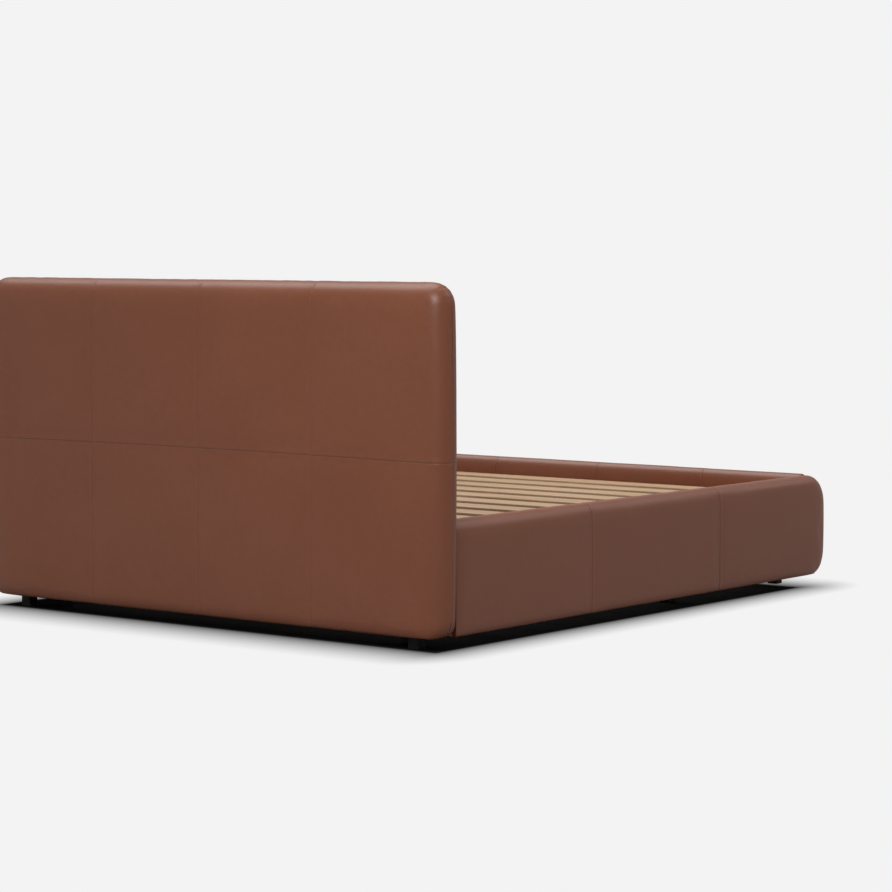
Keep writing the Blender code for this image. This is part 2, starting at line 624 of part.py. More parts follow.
def add_centre_legs():
    half = LEG_SIZE / 2
    leg_bottom = GLIDE_PAD_HEIGHT + GLIDE_TRAVEL
    for number, y in enumerate(CENTRE_LEG_YS, start=1):
        leg = add_box(f"centre_leg_{number}", (-half, y - half, leg_bottom),
                      (half, y + half, BEAM_BOTTOM - CONTACT_GAP), BLACK_LACQUER, LEG_EDGE)
        bm = bmesh.new()
        bmesh.ops.create_cone(bm, cap_ends=True, segments=TURNED_SIDES, radius1=GLIDE_BORE_RADIUS,
                              radius2=GLIDE_BORE_RADIUS, depth=GLIDE_BORE_TOP)
        bmesh.ops.translate(bm, vec=(0, y, GLIDE_BORE_TOP / 2), verts=bm.verts)
        boolean(leg, add_object(f"glide_bore_{number}", bm, ZINC_STEEL, CUTTERS), "DIFFERENCE")
        add_glide(f"levelling_glide_{number}", y)


add_headboard_padding()
add_headboard_timber()
for side_name, side_sign in SIDES.items():
    add_side_rail(side_name, side_sign)
    add_bed_irons(side_name, side_sign)
    add_corner_bracket(side_name, side_sign)
    add_headboard_foot(side_name, side_sign)
add_foot_rail()
add_ledgers()
add_centre_beam()
add_slats()
add_perimeter_legs()
add_centre_legs()
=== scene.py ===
# %% [markdown]
# # A leather bed frame, from bare solids to finished furniture
# The solids of the bed are already built. This lesson dresses them: leather over
# foam, timber, lacquered legs and steel fittings. It starts by loading those solids, which
# stay where they are, so that every new piece can be placed by asking where its solid lies.

# %% Load the bed's solids and note how much room they take
import json
from math import cos, pi, radians, sin

import bpy
import numpy as np
from mathutils import Euler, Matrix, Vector, noise


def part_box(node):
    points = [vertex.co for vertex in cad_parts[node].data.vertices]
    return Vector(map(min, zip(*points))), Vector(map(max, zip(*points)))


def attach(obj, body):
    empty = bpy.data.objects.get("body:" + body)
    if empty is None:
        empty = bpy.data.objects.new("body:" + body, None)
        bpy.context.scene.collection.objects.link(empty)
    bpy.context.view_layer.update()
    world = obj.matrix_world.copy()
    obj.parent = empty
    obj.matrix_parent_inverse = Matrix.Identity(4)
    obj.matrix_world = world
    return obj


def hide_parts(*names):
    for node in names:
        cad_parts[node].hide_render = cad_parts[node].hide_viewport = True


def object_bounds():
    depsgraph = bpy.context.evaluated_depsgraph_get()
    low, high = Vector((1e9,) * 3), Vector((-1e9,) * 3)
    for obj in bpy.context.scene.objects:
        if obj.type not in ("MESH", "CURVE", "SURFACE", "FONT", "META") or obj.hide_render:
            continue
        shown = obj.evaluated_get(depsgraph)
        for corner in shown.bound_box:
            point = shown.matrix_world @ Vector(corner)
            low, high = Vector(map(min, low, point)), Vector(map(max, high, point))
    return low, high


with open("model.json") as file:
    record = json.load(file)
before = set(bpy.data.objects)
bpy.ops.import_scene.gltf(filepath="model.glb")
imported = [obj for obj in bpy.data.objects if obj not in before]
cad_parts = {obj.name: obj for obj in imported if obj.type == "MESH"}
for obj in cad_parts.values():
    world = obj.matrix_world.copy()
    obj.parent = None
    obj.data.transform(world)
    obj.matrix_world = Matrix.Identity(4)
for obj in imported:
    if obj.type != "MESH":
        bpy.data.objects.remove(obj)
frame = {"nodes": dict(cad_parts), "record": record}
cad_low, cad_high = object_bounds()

MM = 0.001
FRAME_BODY = "frame"
print("bed size in mm:", [round(v / MM) for v in cad_high - cad_low])

# %% [markdown]
# Blender's operators act on whatever is selected, and the loaded solids arrive selected.
# A few small helpers keep that in hand: clear the selection, pick one object, and open or
# close its edit mode. A new primitive is always the active object, so it is easy to catch.

# %% Helpers for working with operators


def pick(obj):
    """Make obj the only selected object, and the active one."""
    bpy.ops.object.select_all(action="DESELECT")
    obj.select_set(True)
    bpy.context.view_layer.objects.active = obj


def open_edit(obj, mode="VERT"):
    """Edit mode with nothing selected."""
    pick(obj)
    bpy.ops.object.mode_set(mode="EDIT")
    bpy.ops.mesh.select_mode(type=mode)
    bpy.ops.mesh.select_all(action="DESELECT")


def close_edit():
    bpy.ops.object.mode_set(mode="OBJECT")


def set_home(obj):
    """Move an object's place, turn and size into its mesh."""
    pick(obj)
    bpy.ops.object.transform_apply(location=True, rotation=True, scale=True)


def apply_modifier(obj, kind, **values):
    """Add a modifier with these values and apply it."""
    modifier = obj.modifiers.new(kind.lower(), kind)
    for key, value in values.items():
        setattr(modifier, key, value)
    pick(obj)
    bpy.ops.object.modifier_apply(modifier=modifier.name)


def block(name, low, high):
    """A cube primitive stretched between two corners, its place kept in its mesh."""
    low, high = Vector(low), Vector(high)
    bpy.ops.object.select_all(action="DESELECT")
    bpy.ops.mesh.primitive_cube_add(size=1, location=(low + high) / 2, scale=high - low)
    obj = bpy.context.object
    obj.name = name
    set_home(obj)
    return obj


def smooth(obj, angle=35):
    pick(obj)
    bpy.ops.object.shade_smooth_by_angle(angle=radians(angle))


def read_vectors(items, what):
    flat = np.empty(len(items) * 3)
    items.foreach_get(what, flat)
    return flat.reshape(-1, 3)


def points_of(obj):
    """The mesh's points as an array of rows."""
    return read_vectors(obj.data.vertices, "co")


def set_points(obj, rows):
    obj.data.vertices.foreach_set("co", rows.ravel())
    obj.data.update()


def select_points(obj, chosen):
    """Choose points in object mode, so that edit mode opens with only them selected."""
    obj.data.vertices.foreach_set("select", chosen)
    for edge in obj.data.edges:
        edge.select = bool(chosen[edge.vertices[0]] and chosen[edge.vertices[1]])
    for face in obj.data.polygons:
        face.select = bool(all(chosen[i] for i in face.vertices))


def delete_faces(obj, unwanted):
    """Delete the faces whose middle the test accepts."""
    open_edit(obj, "FACE")
    close_edit()
    for face in obj.data.polygons:
        face.select = bool(unwanted(face.center))
    bpy.ops.object.mode_set(mode="EDIT")
    bpy.ops.mesh.delete(type="FACE")
    close_edit()


def finish_piece(obj, finish, nodes=(), body=FRAME_BODY):
    """Give a piece its material, its body and the solids that it stands for."""
    obj.data.materials.clear()
    obj.data.materials.append(finish)
    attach(obj, body)
    if nodes:
        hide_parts(*nodes)


# %% [markdown]
# The photograph looks at the back of the headboard from a little to one side, with the side
# rail running away to the foot. A long lens keeps the verticals parallel. The values below
# come from fitting a camera to the bed's outline; the principal point stays in the middle.

# %% The camera
CAMERA_PLACE = Vector((-6.5068, 8.1672, 1.2874))
CAMERA_TURN = radians(218.054)
CAMERA_DIP = radians(4.112)
CAMERA_LENS = 117.14

camera_data = bpy.data.cameras.new("camera")
camera_data.lens = CAMERA_LENS
camera_data.sensor_width = 36
camera = bpy.data.objects.new("camera", camera_data)
camera.location = CAMERA_PLACE
camera.rotation_euler = Euler((radians(90) - CAMERA_DIP, 0, CAMERA_TURN), "XYZ")
bpy.context.scene.collection.objects.link(camera)
bpy.context.scene.camera = camera

# %% [markdown]
# Small helpers keep the node trees readable. Each takes either a socket or a plain value for
# what it reads, so that a sum, a noise or a mix of colours is one call.

# %% Helpers for node trees
BACKDROP = 0.896
GLOSS_BACKDROP = 0.41


def plug(tree, socket, value):
    """Link a socket to another, or set it to a plain value."""
    if isinstance(value, (int, float, tuple)):
        socket.default_value = value
    else:
        tree.links.new(value, socket)


def new_node(tree, kind, *values, **settings):
    """A shader node with these settings, and its first inputs plugged with these values."""
    node = tree.nodes.new("ShaderNode" + kind)
    for key, value in settings.items():
        setattr(node, key, value)
    for socket, value in zip(node.inputs, values):
        plug(tree, socket, value)
    return node


def plug_named(tree, node, **values):
    """Plug inputs by name, with an underscore for each space in the name."""
    for label, value in values.items():
        plug(tree, node.inputs[label.replace("_", " ")], value)
    return node


def maths(tree, operation, first, second=0.0, third=0.0):
    return new_node(tree, "Math", first, second, third, operation=operation).outputs[0]


def times(tree, first, second):
    return maths(tree, "MULTIPLY", first, second)


def plus(tree, first, second):
    return maths(tree, "ADD", first, second)


def minus(tree, first, second):
    return maths(tree, "SUBTRACT", first, second)


def ramp(tree, value, low, high, to_low=0.0, to_high=1.0, kind="SMOOTHSTEP"):
    return new_node(tree, "MapRange", value, low, high, to_low, to_high,
                    interpolation_type=kind).outputs[0]


def noise_texture(tree, vector, scale, detail=3.0, roughness=0.5):
    return plug_named(tree, new_node(tree, "TexNoise"), Vector=vector, Scale=scale,
                      Detail=detail, Roughness=roughness).outputs["Fac"]


def blend_colours(tree, factor, first, second):
    node = new_node(tree, "Mix", factor, data_type="RGBA")
    plug(tree, node.inputs[6], first)
    plug(tree, node.inputs[7], second)
    return node.outputs[2]


def axes_of(tree, vector):
    return new_node(tree, "SeparateXYZ", vector).outputs


def seen_directly(tree):
    """1 for what the camera sees, itself or in a gloss or through glass, else 0."""
    path = new_node(tree, "LightPath").outputs
    seen = maths(tree, "MAXIMUM", path["Is Camera Ray"], path["Is Glossy Ray"])
    return maths(tree, "MAXIMUM", seen, path["Is Transmission Ray"])


def backdrop_grey(tree):
    """The backdrop's level: full to the camera, a little less in a gloss."""
    gloss = new_node(tree, "LightPath").outputs["Is Glossy Ray"]
    return ramp(tree, gloss, 0.0, 1.0, BACKDROP, GLOSS_BACKDROP, "LINEAR")


def mix_layers(tree, factor, first, second):
    return new_node(tree, "MixShader", factor, first, second).outputs[0]


# %% [markdown]
# The studio has three soft lamps and a dim room. A large one hangs overhead and draws the
# bright line along the top of the headboard; a sun lamp with a wide angle acts like it, and
# keeps the light even. A weak card beyond the foot lights the side rail in the same way. The
# third is a round softbox beside the camera, a few metres from the headboard's near corner.
# It leaves a soft spot on that corner, and its light fades a little towards the far side.

# %% Three lamps and the room
SOFTBOX_AIM = Vector((-0.95, 1.16, 1.05))
SOFTBOX_DISTANCE = 3.6
SOFTBOX_WIDTH = 1.4


def hang_lamp(name, lamp, direction_from, place=(0, 0, 0)):
    """Put a lamp in the scene, shining from that direction."""
    obj = bpy.data.objects.new(name, lamp)
    obj.rotation_mode = "QUATERNION"
    obj.rotation_quaternion = Vector(direction_from).to_track_quat("Z", "Y")
    obj.location = place
    bpy.context.scene.collection.objects.link(obj)


def broad_lamp(name, direction_from, angle, level):
    """A broad lamp; a white card that faces it would render at that level."""
    lamp = bpy.data.lights.new(name, "SUN")
    lamp.angle = radians(angle)
    lamp.energy = level * pi
    hang_lamp(name, lamp, direction_from)


def round_softbox(name, direction_from, level):
    """A round lamp near the bed; a white card at its aim would render at that level."""
    lamp = bpy.data.lights.new(name, "AREA")
    lamp.shape = "DISK"
    lamp.size = SOFTBOX_WIDTH
    lamp.energy = level * 4 * pi * SOFTBOX_DISTANCE ** 2
    away = Vector(direction_from).normalized()
    hang_lamp(name, lamp, away, SOFTBOX_AIM + SOFTBOX_DISTANCE * away)


broad_lamp("overhead softbox", (0.36, -0.03, 0.90), 52, 0.47)
broad_lamp("card at the foot", (-0.62, -0.72, 0.85), 44, 0.14)
round_softbox("softbox beside the camera", (-0.22, 0.84, 0.47), 0.325)

ZENITH, HORIZON = 0.52, 0.04
DARK_BELOW, BRIGHT_ABOVE = 0.05, 0.75

world = bpy.data.worlds.new("studio")
bpy.context.scene.world = world
world.use_nodes = True
tree = world.node_tree
backdrop = plug_named(tree, tree.nodes["Background"], Color=backdrop_grey(tree))
upward = axes_of(tree, new_node(tree, "TexCoord").outputs["Generated"])["Z"]
room = new_node(tree, "Background",
                ramp(tree, upward, DARK_BELOW, BRIGHT_ABOVE, HORIZON, ZENITH))
around = mix_layers(tree, seen_directly(tree), room.outputs[0], backdrop.outputs[0])
plug_named(tree, tree.nodes["World Output"], Surface=around)
bpy.context.scene.view_settings.view_transform = "Standard"

# %% [markdown]
# The floor is a pale sweep that melts into the backdrop. Close to the bed it is a dark matt
# surface, a painted shadow that is darkest under the bed, and the real shadow falls on it as
# well. From there it turns into the backdrop's own colour, over 20 cm at the sides and 33 cm at
# the ends, as an overexposed studio floor does. The distance to the bed is worked out from the
# position of each floor point.

# %% The studio floor
FLOOR_GREY = 0.38
# How dark the painted shadow is near the bed and under it, darkening over UNDER_REACH.
NEAR_PAINTED_SHADE, UNDER_PAINTED_SHADE, UNDER_REACH = 0.14, 0.02, 0.08
SHADOW_INSET_SIDE, SHADOW_INSET_END = 0.043, 0.040
SHADOW_MIDDLE = 0.07
FADE_SIDE, FADE_END = 0.203, 0.325
FADE_POWER = 1.32
FLOOR_SIZE = 400

bpy.ops.object.select_all(action="DESELECT")
bpy.ops.mesh.primitive_plane_add(size=FLOOR_SIZE, location=(0, 0, 0))
floor = bpy.context.object
floor.name = "studio_floor"
floor_finish = bpy.data.materials.new("pale studio floor")
floor_finish.use_nodes = True
tree = floor_finish.node_tree
tree.nodes.remove(tree.nodes["Principled BSDF"])
place = axes_of(tree, new_node(tree, "NewGeometry").outputs["Position"])
reach = []
for axis, middle, half, fade in (
        ("X", 0.0, cad_high.x - SHADOW_INSET_SIDE, FADE_SIDE),
        ("Y", SHADOW_MIDDLE, cad_high.y - SHADOW_INSET_END - SHADOW_MIDDLE, FADE_END)):
    from_middle = maths(tree, "ABSOLUTE", minus(tree, place[axis], middle))
    beyond = maths(tree, "MAXIMUM", minus(tree, from_middle, half), 0.0)
    reach.append(maths(tree, "DIVIDE", beyond, fade))
away = maths(tree, "SQRT", plus(tree, times(tree, reach[0], reach[0]),
                                times(tree, reach[1], reach[1])))
left = maths(tree, "MAXIMUM", minus(tree, 1.0, away), 0.0)
sweep = minus(tree, 1.0, maths(tree, "POWER", left, FADE_POWER))
# Painted shadow: to the camera the floor near the bed is dark grey, darkest under the bed, and the
# real shadow falls on top of it.
painted_shade_grey = ramp(tree, away, 0.0, UNDER_REACH, UNDER_PAINTED_SHADE, NEAR_PAINTED_SHADE)
near_shadow_layer = new_node(tree, "BsdfDiffuse", painted_shade_grey).outputs[0]
far_layer = new_node(tree, "Emission", backdrop_grey(tree)).outputs[0]
lit_layer = new_node(tree, "BsdfDiffuse", (FLOOR_GREY, FLOOR_GREY, FLOOR_GREY, 1)).outputs[0]
surface = mix_layers(tree, seen_directly(tree), lit_layer,
                     mix_layers(tree, sweep, near_shadow_layer, far_layer))
plug_named(tree, tree.nodes["Material Output"], Surface=surface)
floor.data.materials.append(floor_finish)

# %% [markdown]
# Leather has detail at several sizes: a slow change of tone over the hide, a mottle of a
# centimetre or two, and a grain of tiny pebbles with wrinkles between them. Where panels
# are sewn the leather gathers in small folds and the needle holes pull it down stitch by
# stitch. The crease and its needle holes are painted darker, a painted shade. One node group
# makes all of it. The pieces carry four numbers for it at each point: how near a seam is, the
# place along it, how dark the painted shade in its crease is, and how far the surface has
# turned round an edge, where hands rub it paler; round the headboard's ends that number turns
# the other way and paints the leather darker, a painted shade.

# %% A node group for leather


def new_group(name, inputs, outputs):
    """A shader node group that reads a Vector and the inputs, whose defaults tell their kind,
    and puts out a Color and the outputs, which are numbers."""
    group = bpy.data.node_groups.new(name, "ShaderNodeTree")

    def add(label, in_out, kind):
        return group.interface.new_socket(label, in_out=in_out, socket_type="NodeSocket" + kind)

    add("Vector", "INPUT", "Vector")
    for label, value in inputs.items():
        kind = {3: "Vector", 4: "Color"}[len(value)] if isinstance(value, tuple) else "Float"
        add(label, "INPUT", kind).default_value = value
    add("Color", "OUTPUT", "Color")
    for label in outputs:
        add(label, "OUTPUT", "Float")
    return group, group.nodes.new("NodeGroupInput").outputs, group.nodes.new("NodeGroupOutput")


STITCHES_PER_METRE = 250
PEBBLE_SCALE, WRINKLE_SCALE, FOLD_SCALE, MOTTLE_SCALE, HIDE_SCALE = 640, 170, 75, 48, 3.2
# The colour of the painted shade in the seams' creases.
CREASE_SHADE_COLOUR = (0.022, 0.008, 0.005, 1)
group, given, made = new_group(
    "leather", {"Near Seam": 1.0, "Along Seam": 0.0, "Crease": 0.0, "Edge": 0.0,
                "Hide": (0.25, 0.08, 0.03, 1), "Rubbed": (0.30, 0.10, 0.05, 1)},
    ("Roughness", "Grain", "Folds"))
LEATHER_GROUP = group
vector, near, painted_crease_shade = given["Vector"], given["Near Seam"], given["Crease"]

pebbles = plug_named(group, new_node(group, "TexVoronoi", feature="DISTANCE_TO_EDGE"),
                     Vector=vector, Scale=PEBBLE_SCALE)
pebble_top = maths(group, "MINIMUM", times(group, pebbles.outputs["Distance"], 3.0), 1.0)
wrinkle = noise_texture(group, vector, WRINKLE_SCALE, 4.0, 0.62)
slow_tone = noise_texture(group, vector, HIDE_SCALE, 2.0)
mottle = noise_texture(group, vector, MOTTLE_SCALE, 4.0, 0.62)

gathered = ramp(group, near, 1.0 * MM, 22.0 * MM, 1.0, 0.0)
stitch_wave = maths(group, "SINE", times(group, given["Along Seam"],
                                         STITCHES_PER_METRE * 2 * pi))
stitch = times(group, ramp(group, stitch_wave, 0.1, 0.9),
               ramp(group, near, 1.2 * MM, 3.4 * MM, 1.0, 0.0))
folds = times(group, noise_texture(group, vector, FOLD_SCALE, 2.0, 0.5), gathered)

tone = plus(group, times(group, slow_tone, 0.5), times(group, mottle, 0.5))
# Paler where the leather is rubbed round an edge; round the headboard's ends this goes below
# nothing and paints the leather darker, a painted shade.
rub_and_end_shade = times(group, given["Edge"], plus(group, 0.15, times(group, mottle, 0.5)))
mix_amount = plus(group, times(group, ramp(group, tone, 0.30, 0.70), 0.65), rub_and_end_shade)
hide = blend_colours(group, mix_amount, given["Hide"], given["Rubbed"])
# Painted shade: the seam's crease, and its needle holes more, are painted darker.
shade = plus(group, painted_crease_shade, times(group, times(group, stitch, painted_crease_shade), 0.5))
plug_named(
    group, made, Color=blend_colours(group, shade, hide, CREASE_SHADE_COLOUR),
    Roughness=plus(group, 0.28, minus(group, times(group, mottle, 0.15),
                                      times(group, rub_and_end_shade, 0.06))),
    Grain=plus(group, times(group, pebble_top, 0.45), times(group, wrinkle, 0.55)),
    Folds=minus(group, folds, times(group, stitch, 0.35)))

# %% [markdown]
# Timber grain is a noise stretched along the board. Counting through its levels gives the
# year rings; the same noise, finer, gives the fibres. A little darkening follows the rings.

# %% A node group for timber
group, given, made = new_group(
    "timber", {"Along": (0.0, 0.0, 0.0), "Early Wood": (0.6, 0.4, 0.2, 1),
               "Late Wood": (0.4, 0.25, 0.12, 1), "Rings": 5.0}, ("Roughness", "Height"))
TIMBER_GROUP = group


def stretched(factor):
    """The place in the wood, drawn out along the grain."""
    along = new_node(group, "VectorMath", given["Vector"], given["Along"], operation="MULTIPLY")
    finer = new_node(group, "VectorMath", along.outputs[0], operation="SCALE")
    return plug_named(group, finer, Scale=factor).outputs[0]


levels = times(group, noise_texture(group, stretched(0.45), 1.0, 2.0, 0.5), given["Rings"])
rings = maths(group, "PINGPONG", levels, 0.5)
fibres = noise_texture(group, stretched(11.0), 1.0, 3.0, 0.7)
pores = ramp(group, noise_texture(group, stretched(24.0), 1.0, 1.0, 0.5), 0.60, 0.70)
grain_mask = plus(group, times(group, ramp(group, rings, 0.10, 0.45), 0.60),
                  times(group, fibres, 0.40))
timber = blend_colours(group, grain_mask, given["Early Wood"], given["Late Wood"])
plug_named(
    group, made,
    Color=blend_colours(group, times(group, pores, 0.35), timber, given["Late Wood"]),
    Roughness=plus(group, 0.42, times(group, fibres, 0.22)),
    Height=minus(group, grain_mask, times(group, pores, 0.5)))

# %% [markdown]
# Painted, plated and moulded parts share one group as well: a fine speckle for the skin of
# the finish, larger patches of dust, and a mask that finds the edges, where paint wears
# through and metal is polished. The Bevel node bends the surface direction near an edge, so
# its difference from the true direction marks the edge.

# %% A node group for dust and worn edges
DUST_COLOUR = (0.45, 0.43, 0.40, 1)
group, given, made = new_group(
    "skin_and_wear", {"Speckle Scale": 300.0, "Base": (0.1, 0.1, 0.1, 1),
                      "Speckle": (0.2, 0.2, 0.2, 1), "Worn": (0.3, 0.3, 0.3, 1),
                      "Wear": 0.5, "Base Roughness": 0.5}, ("Roughness", "Height"))
WEAR_GROUP = group
vector = given["Vector"]
speckle = noise_texture(group, vector, given["Speckle Scale"], 4)
dust = ramp(group, noise_texture(group, vector, 22, 5.0, 0.65), 0.50, 0.72)
eased = plug_named(group, new_node(group, "Bevel", samples=4), Radius=1.2 * MM)
geometry = new_node(group, "NewGeometry")
compare = new_node(group, "VectorMath", eased.outputs["Normal"], geometry.outputs["Normal"],
                   operation="DOT_PRODUCT")
edge = ramp(group, compare.outputs["Value"], 0.99, 0.86)
worn = times(group, times(group, edge, given["Wear"]),
             ramp(group, noise_texture(group, vector, 90, 3.0), 0.35, 0.62))
skin = blend_colours(group, speckle, given["Base"], given["Speckle"])
dusty = blend_colours(group, times(group, dust, 0.06), skin, DUST_COLOUR)
unevenness = plus(group, times(group, minus(group, speckle, 0.5), 0.16),
                  times(group, dust, 0.10))
plug_named(group, made, Color=blend_colours(group, worn, dusty, given["Worn"]),
           Roughness=plus(group, given["Base Roughness"], unevenness), Height=speckle)

# %% [markdown]
# Each finish is a material of its own around one Principled shader. Values that are the same
# all over the surface sit on the shader itself; only what varies comes through the nodes.

# %% The leather


def start_finish(name, colour, roughness, metallic=0.0):
    """A material with a Principled shader, and its Object coordinates."""
    finish = bpy.data.materials.new(name)
    finish.use_nodes = True
    tree = finish.node_tree
    shader = plug_named(tree, tree.nodes["Principled BSDF"], Base_Color=(*colour, 1),
                        Roughness=roughness, Metallic=metallic)
    return finish, tree, shader, new_node(tree, "TexCoord").outputs["Object"]


def bump(tree, height, distance, under=None):
    """A Bump node, on top of another one where there is one."""
    node = plug_named(tree, new_node(tree, "Bump"), Strength=1.0, Distance=distance,
                      Height=height)
    if under:
        tree.links.new(under, node.inputs["Normal"])
    return node.outputs["Normal"]


def use_group(tree, group, place, **values):
    return plug_named(tree, new_node(tree, "Group", node_tree=group), Vector=place, **values)


def dress(tree, shader, skin, relief):
    """Give the shader a group's colour and roughness, and a relief."""
    plug_named(tree, shader, Base_Color=skin.outputs["Color"],
               Roughness=skin.outputs["Roughness"], Normal=relief)


def attribute(tree, name):
    return new_node(tree, "Attribute", attribute_name=name).outputs["Fac"]


HIDE_COLOUR = (0.222, 0.064, 0.025)
RUBBED_COLOUR = (0.258, 0.080, 0.035)
LEATHER, tree, shader, place = start_finish("brown leather", HIDE_COLOUR, 0.38)
shader.inputs["Specular IOR Level"].default_value = 0.60
grain = use_group(tree, LEATHER_GROUP, place, Hide=(*HIDE_COLOUR, 1), Rubbed=(*RUBBED_COLOUR, 1),
                  Near_Seam=attribute(tree, "near_seam"),
                  Along_Seam=attribute(tree, "along_seam"),
                  Crease=attribute(tree, "painted_crease_shade"), Edge=attribute(tree, "edge_rub_and_end_shade"))
folds = bump(tree, grain.outputs["Folds"], 0.8 * MM)
dress(tree, shader, grain, bump(tree, grain.outputs["Grain"], 0.10 * MM, folds))

# %% Timber, paint, steel, nylon and foam


def timber_finish(name, early, late, along, rings):
    finish, tree, shader, place = start_finish(name, early, 0.5)
    grain = use_group(tree, TIMBER_GROUP, place, Early_Wood=(*early, 1), Late_Wood=(*late, 1),
                      Along=along, Rings=rings)
    dress(tree, shader, grain, bump(tree, grain.outputs["Height"], 0.12 * MM))
    return finish


def skin_finish(name, base, speckle, worn, wear, roughness, scale, metallic=0.0, depth=0.04):
    """Paint, plating, nylon or foam: a speckled skin with dust and worn edges."""
    finish, tree, shader, place = start_finish(name, base, roughness, metallic)
    skin = use_group(tree, WEAR_GROUP, place, Base=(*base, 1), Speckle=(*speckle, 1),
                     Worn=(*worn, 1), Wear=wear, Base_Roughness=roughness, Speckle_Scale=scale)
    dress(tree, shader, skin, bump(tree, skin.outputs["Height"], depth * MM))
    return finish


ALONG_X, ALONG_Y, ALONG_Z = (1.6, 26.0, 26.0), (26.0, 1.6, 26.0), (26.0, 26.0, 1.6)
BEECH = timber_finish("beech slats", (0.60, 0.40, 0.235), (0.47, 0.29, 0.155), ALONG_X, 4.0)
PINE = {axis: timber_finish(f"pine, grain along {axis}", (0.64, 0.44, 0.24), (0.47, 0.27, 0.12),
                            along, 7.0)
        for axis, along in (("X", ALONG_X), ("Y", ALONG_Y), ("Z", ALONG_Z))}
PLYWOOD = timber_finish("birch plywood", (0.58, 0.42, 0.27), (0.48, 0.33, 0.20), ALONG_Y, 4.0)
LACQUER = skin_finish("black lacquer", (0.009, 0.009, 0.010), (0.014, 0.014, 0.015),
                      (0.12, 0.09, 0.06), 0.5, 0.46, 160)
LACQUER.node_tree.nodes["Principled BSDF"].inputs["Specular IOR Level"].default_value = 0.15
STEEL = skin_finish("zinc plated steel", (0.56, 0.57, 0.58), (0.45, 0.46, 0.48),
                    (0.72, 0.72, 0.72), 0.7, 0.33, 260, 1.0)
NYLON = skin_finish("black nylon", (0.020, 0.020, 0.021), (0.030, 0.030, 0.031),
                    (0.06, 0.06, 0.06), 0.4, 0.55, 420)
FOAM = skin_finish("upholstery foam", (0.76, 0.69, 0.50), (0.62, 0.55, 0.38),
                   (0.66, 0.58, 0.40), 0.2, 0.92, 520, 0.0, 0.5)

# %% [markdown]
# The padded skins are all the same kind of thing: a slab with a round outline and full,
# round edges. Each starts as a cube that is bisected into a lattice, with a line on every
# seam. Then its points are moved on to the round slab. A bevel could round the slab as well,
# but moving the points keeps the lattice even, and the seams then follow it round the edges.

# %% The lattice and the round slab
EVEN_STEP = 25.0 * MM
EDGE_STEP = 13.0 * MM
FULLER_BELOW, FULLER_RAIL = 3.0, 5.0
BELLY_REACH = 140.0 * MM
CROWN = 0.15
CROWN_REACH = 65.0 * MM


def spread(low, high, step):
    """Places between low and high about step apart, the ends left out."""
    count = max(1, round((high - low) / step))
    return [low + (high - low) * i / count for i in range(1, count)]


def lattice_lines(low, high, seams=(), rounding=(0, 0), step=EVEN_STEP, edge_step=EDGE_STEP):
    """Places for the cuts: on the seams, and closer together where the ends are round."""
    low_turn, high_turn = low + rounding[0], high - rounding[1]
    stops = sorted({low, high, low_turn, high_turn, *seams})
    cuts = [stop for stop in stops if low < stop < high]
    for start, end in zip(stops, stops[1:]):
        turning = end <= low_turn or start >= high_turn
        cuts += spread(start, end, edge_step if turning else step)
    return sorted(cuts)


def cut_lines(obj, axis, places):
    """Bisect the whole mesh at each place along one axis."""
    open_edit(obj)
    normal = Vector()
    normal[axis] = 1
    for place in places:
        bpy.ops.mesh.select_all(action="SELECT")
        bpy.ops.mesh.bisect(plane_co=normal * place, plane_no=normal)
    close_edit()


def to_round_slab(obj, half_length, height, half_depth, edge_radius, corners, round_ends=(-1, 1),
                  fullness=FULLER_BELOW):
    """Move the points of a box along X on to a slab with full edges and round corners.

    corners maps (end, level) to the radius of that corner; the other ends are left square.
    Underneath, the leather is pulled tight round the frame, so there the edge is fuller.
    """
    rows = points_of(obj)
    x, y, z = rows.T
    low_x = -half_length + edge_radius if -1 in round_ends else x.min()
    high_x = half_length - edge_radius if 1 in round_ends else x.max()
    core_x = np.clip(x, low_x, high_x)
    core_z = np.clip(z, edge_radius, height - edge_radius)
    for (end, level), radius in corners.items():
        centre_x = end * (half_length - radius)
        centre_z = height - radius if level > 0 else radius
        out_x, out_z = (x - centre_x) * end, (z - centre_z) * level
        reach = np.hypot(out_x, out_z)
        inner = radius - edge_radius
        there = (out_x > 0) & (out_z > 0)
        scale = np.where(reach > inner, inner / np.maximum(reach, 1e-9), 1.0)
        core_x = np.where(there, centre_x + end * out_x * scale, core_x)
        core_z = np.where(there, centre_z + level * out_z * scale, core_z)
    flat = half_depth - edge_radius
    core = np.stack([core_x, np.clip(y, -flat, flat), core_z], axis=1)
    away = rows - core
    away /= np.maximum(np.linalg.norm(away, axis=1, keepdims=True), 1e-9)
    outward = np.maximum(np.hypot(away[:, 0], away[:, 2]), 1e-9)
    across = np.maximum(np.abs(away[:, 1]), 1e-9)
    power = 2 + fullness * (np.clip(-away[:, 2], 0, None) / outward) ** 2
    fuller = (outward ** power + across ** power) ** (-1 / power)
    set_points(obj, core + edge_radius * fuller[:, None] * away)


def fill_out(obj, height, edge_radius, ends, amount):
    """Padding pushes the ends out at half height, and the faces lean back slowly before they
    turn round an edge."""
    rows = points_of(obj)
    x, y, z = rows.T
    there = np.isin(np.sign(x), ends)
    inside = np.abs(x).max() - np.abs(x)
    reach = edge_radius + CROWN_REACH
    past_end = np.clip(1 - inside / reach, 0, 1) * there
    past_top = np.clip(1 - (height - z) / reach, 0, 1)
    y *= 1 - CROWN * (past_end ** 2 + past_top ** 2)
    level = 1 - ((z - height / 2) / (height / 2)) ** 2
    x += np.sign(x) * amount * level * np.clip(1 - inside / BELLY_REACH, 0, 1) * there
    set_points(obj, np.stack([x, y, z], axis=1))


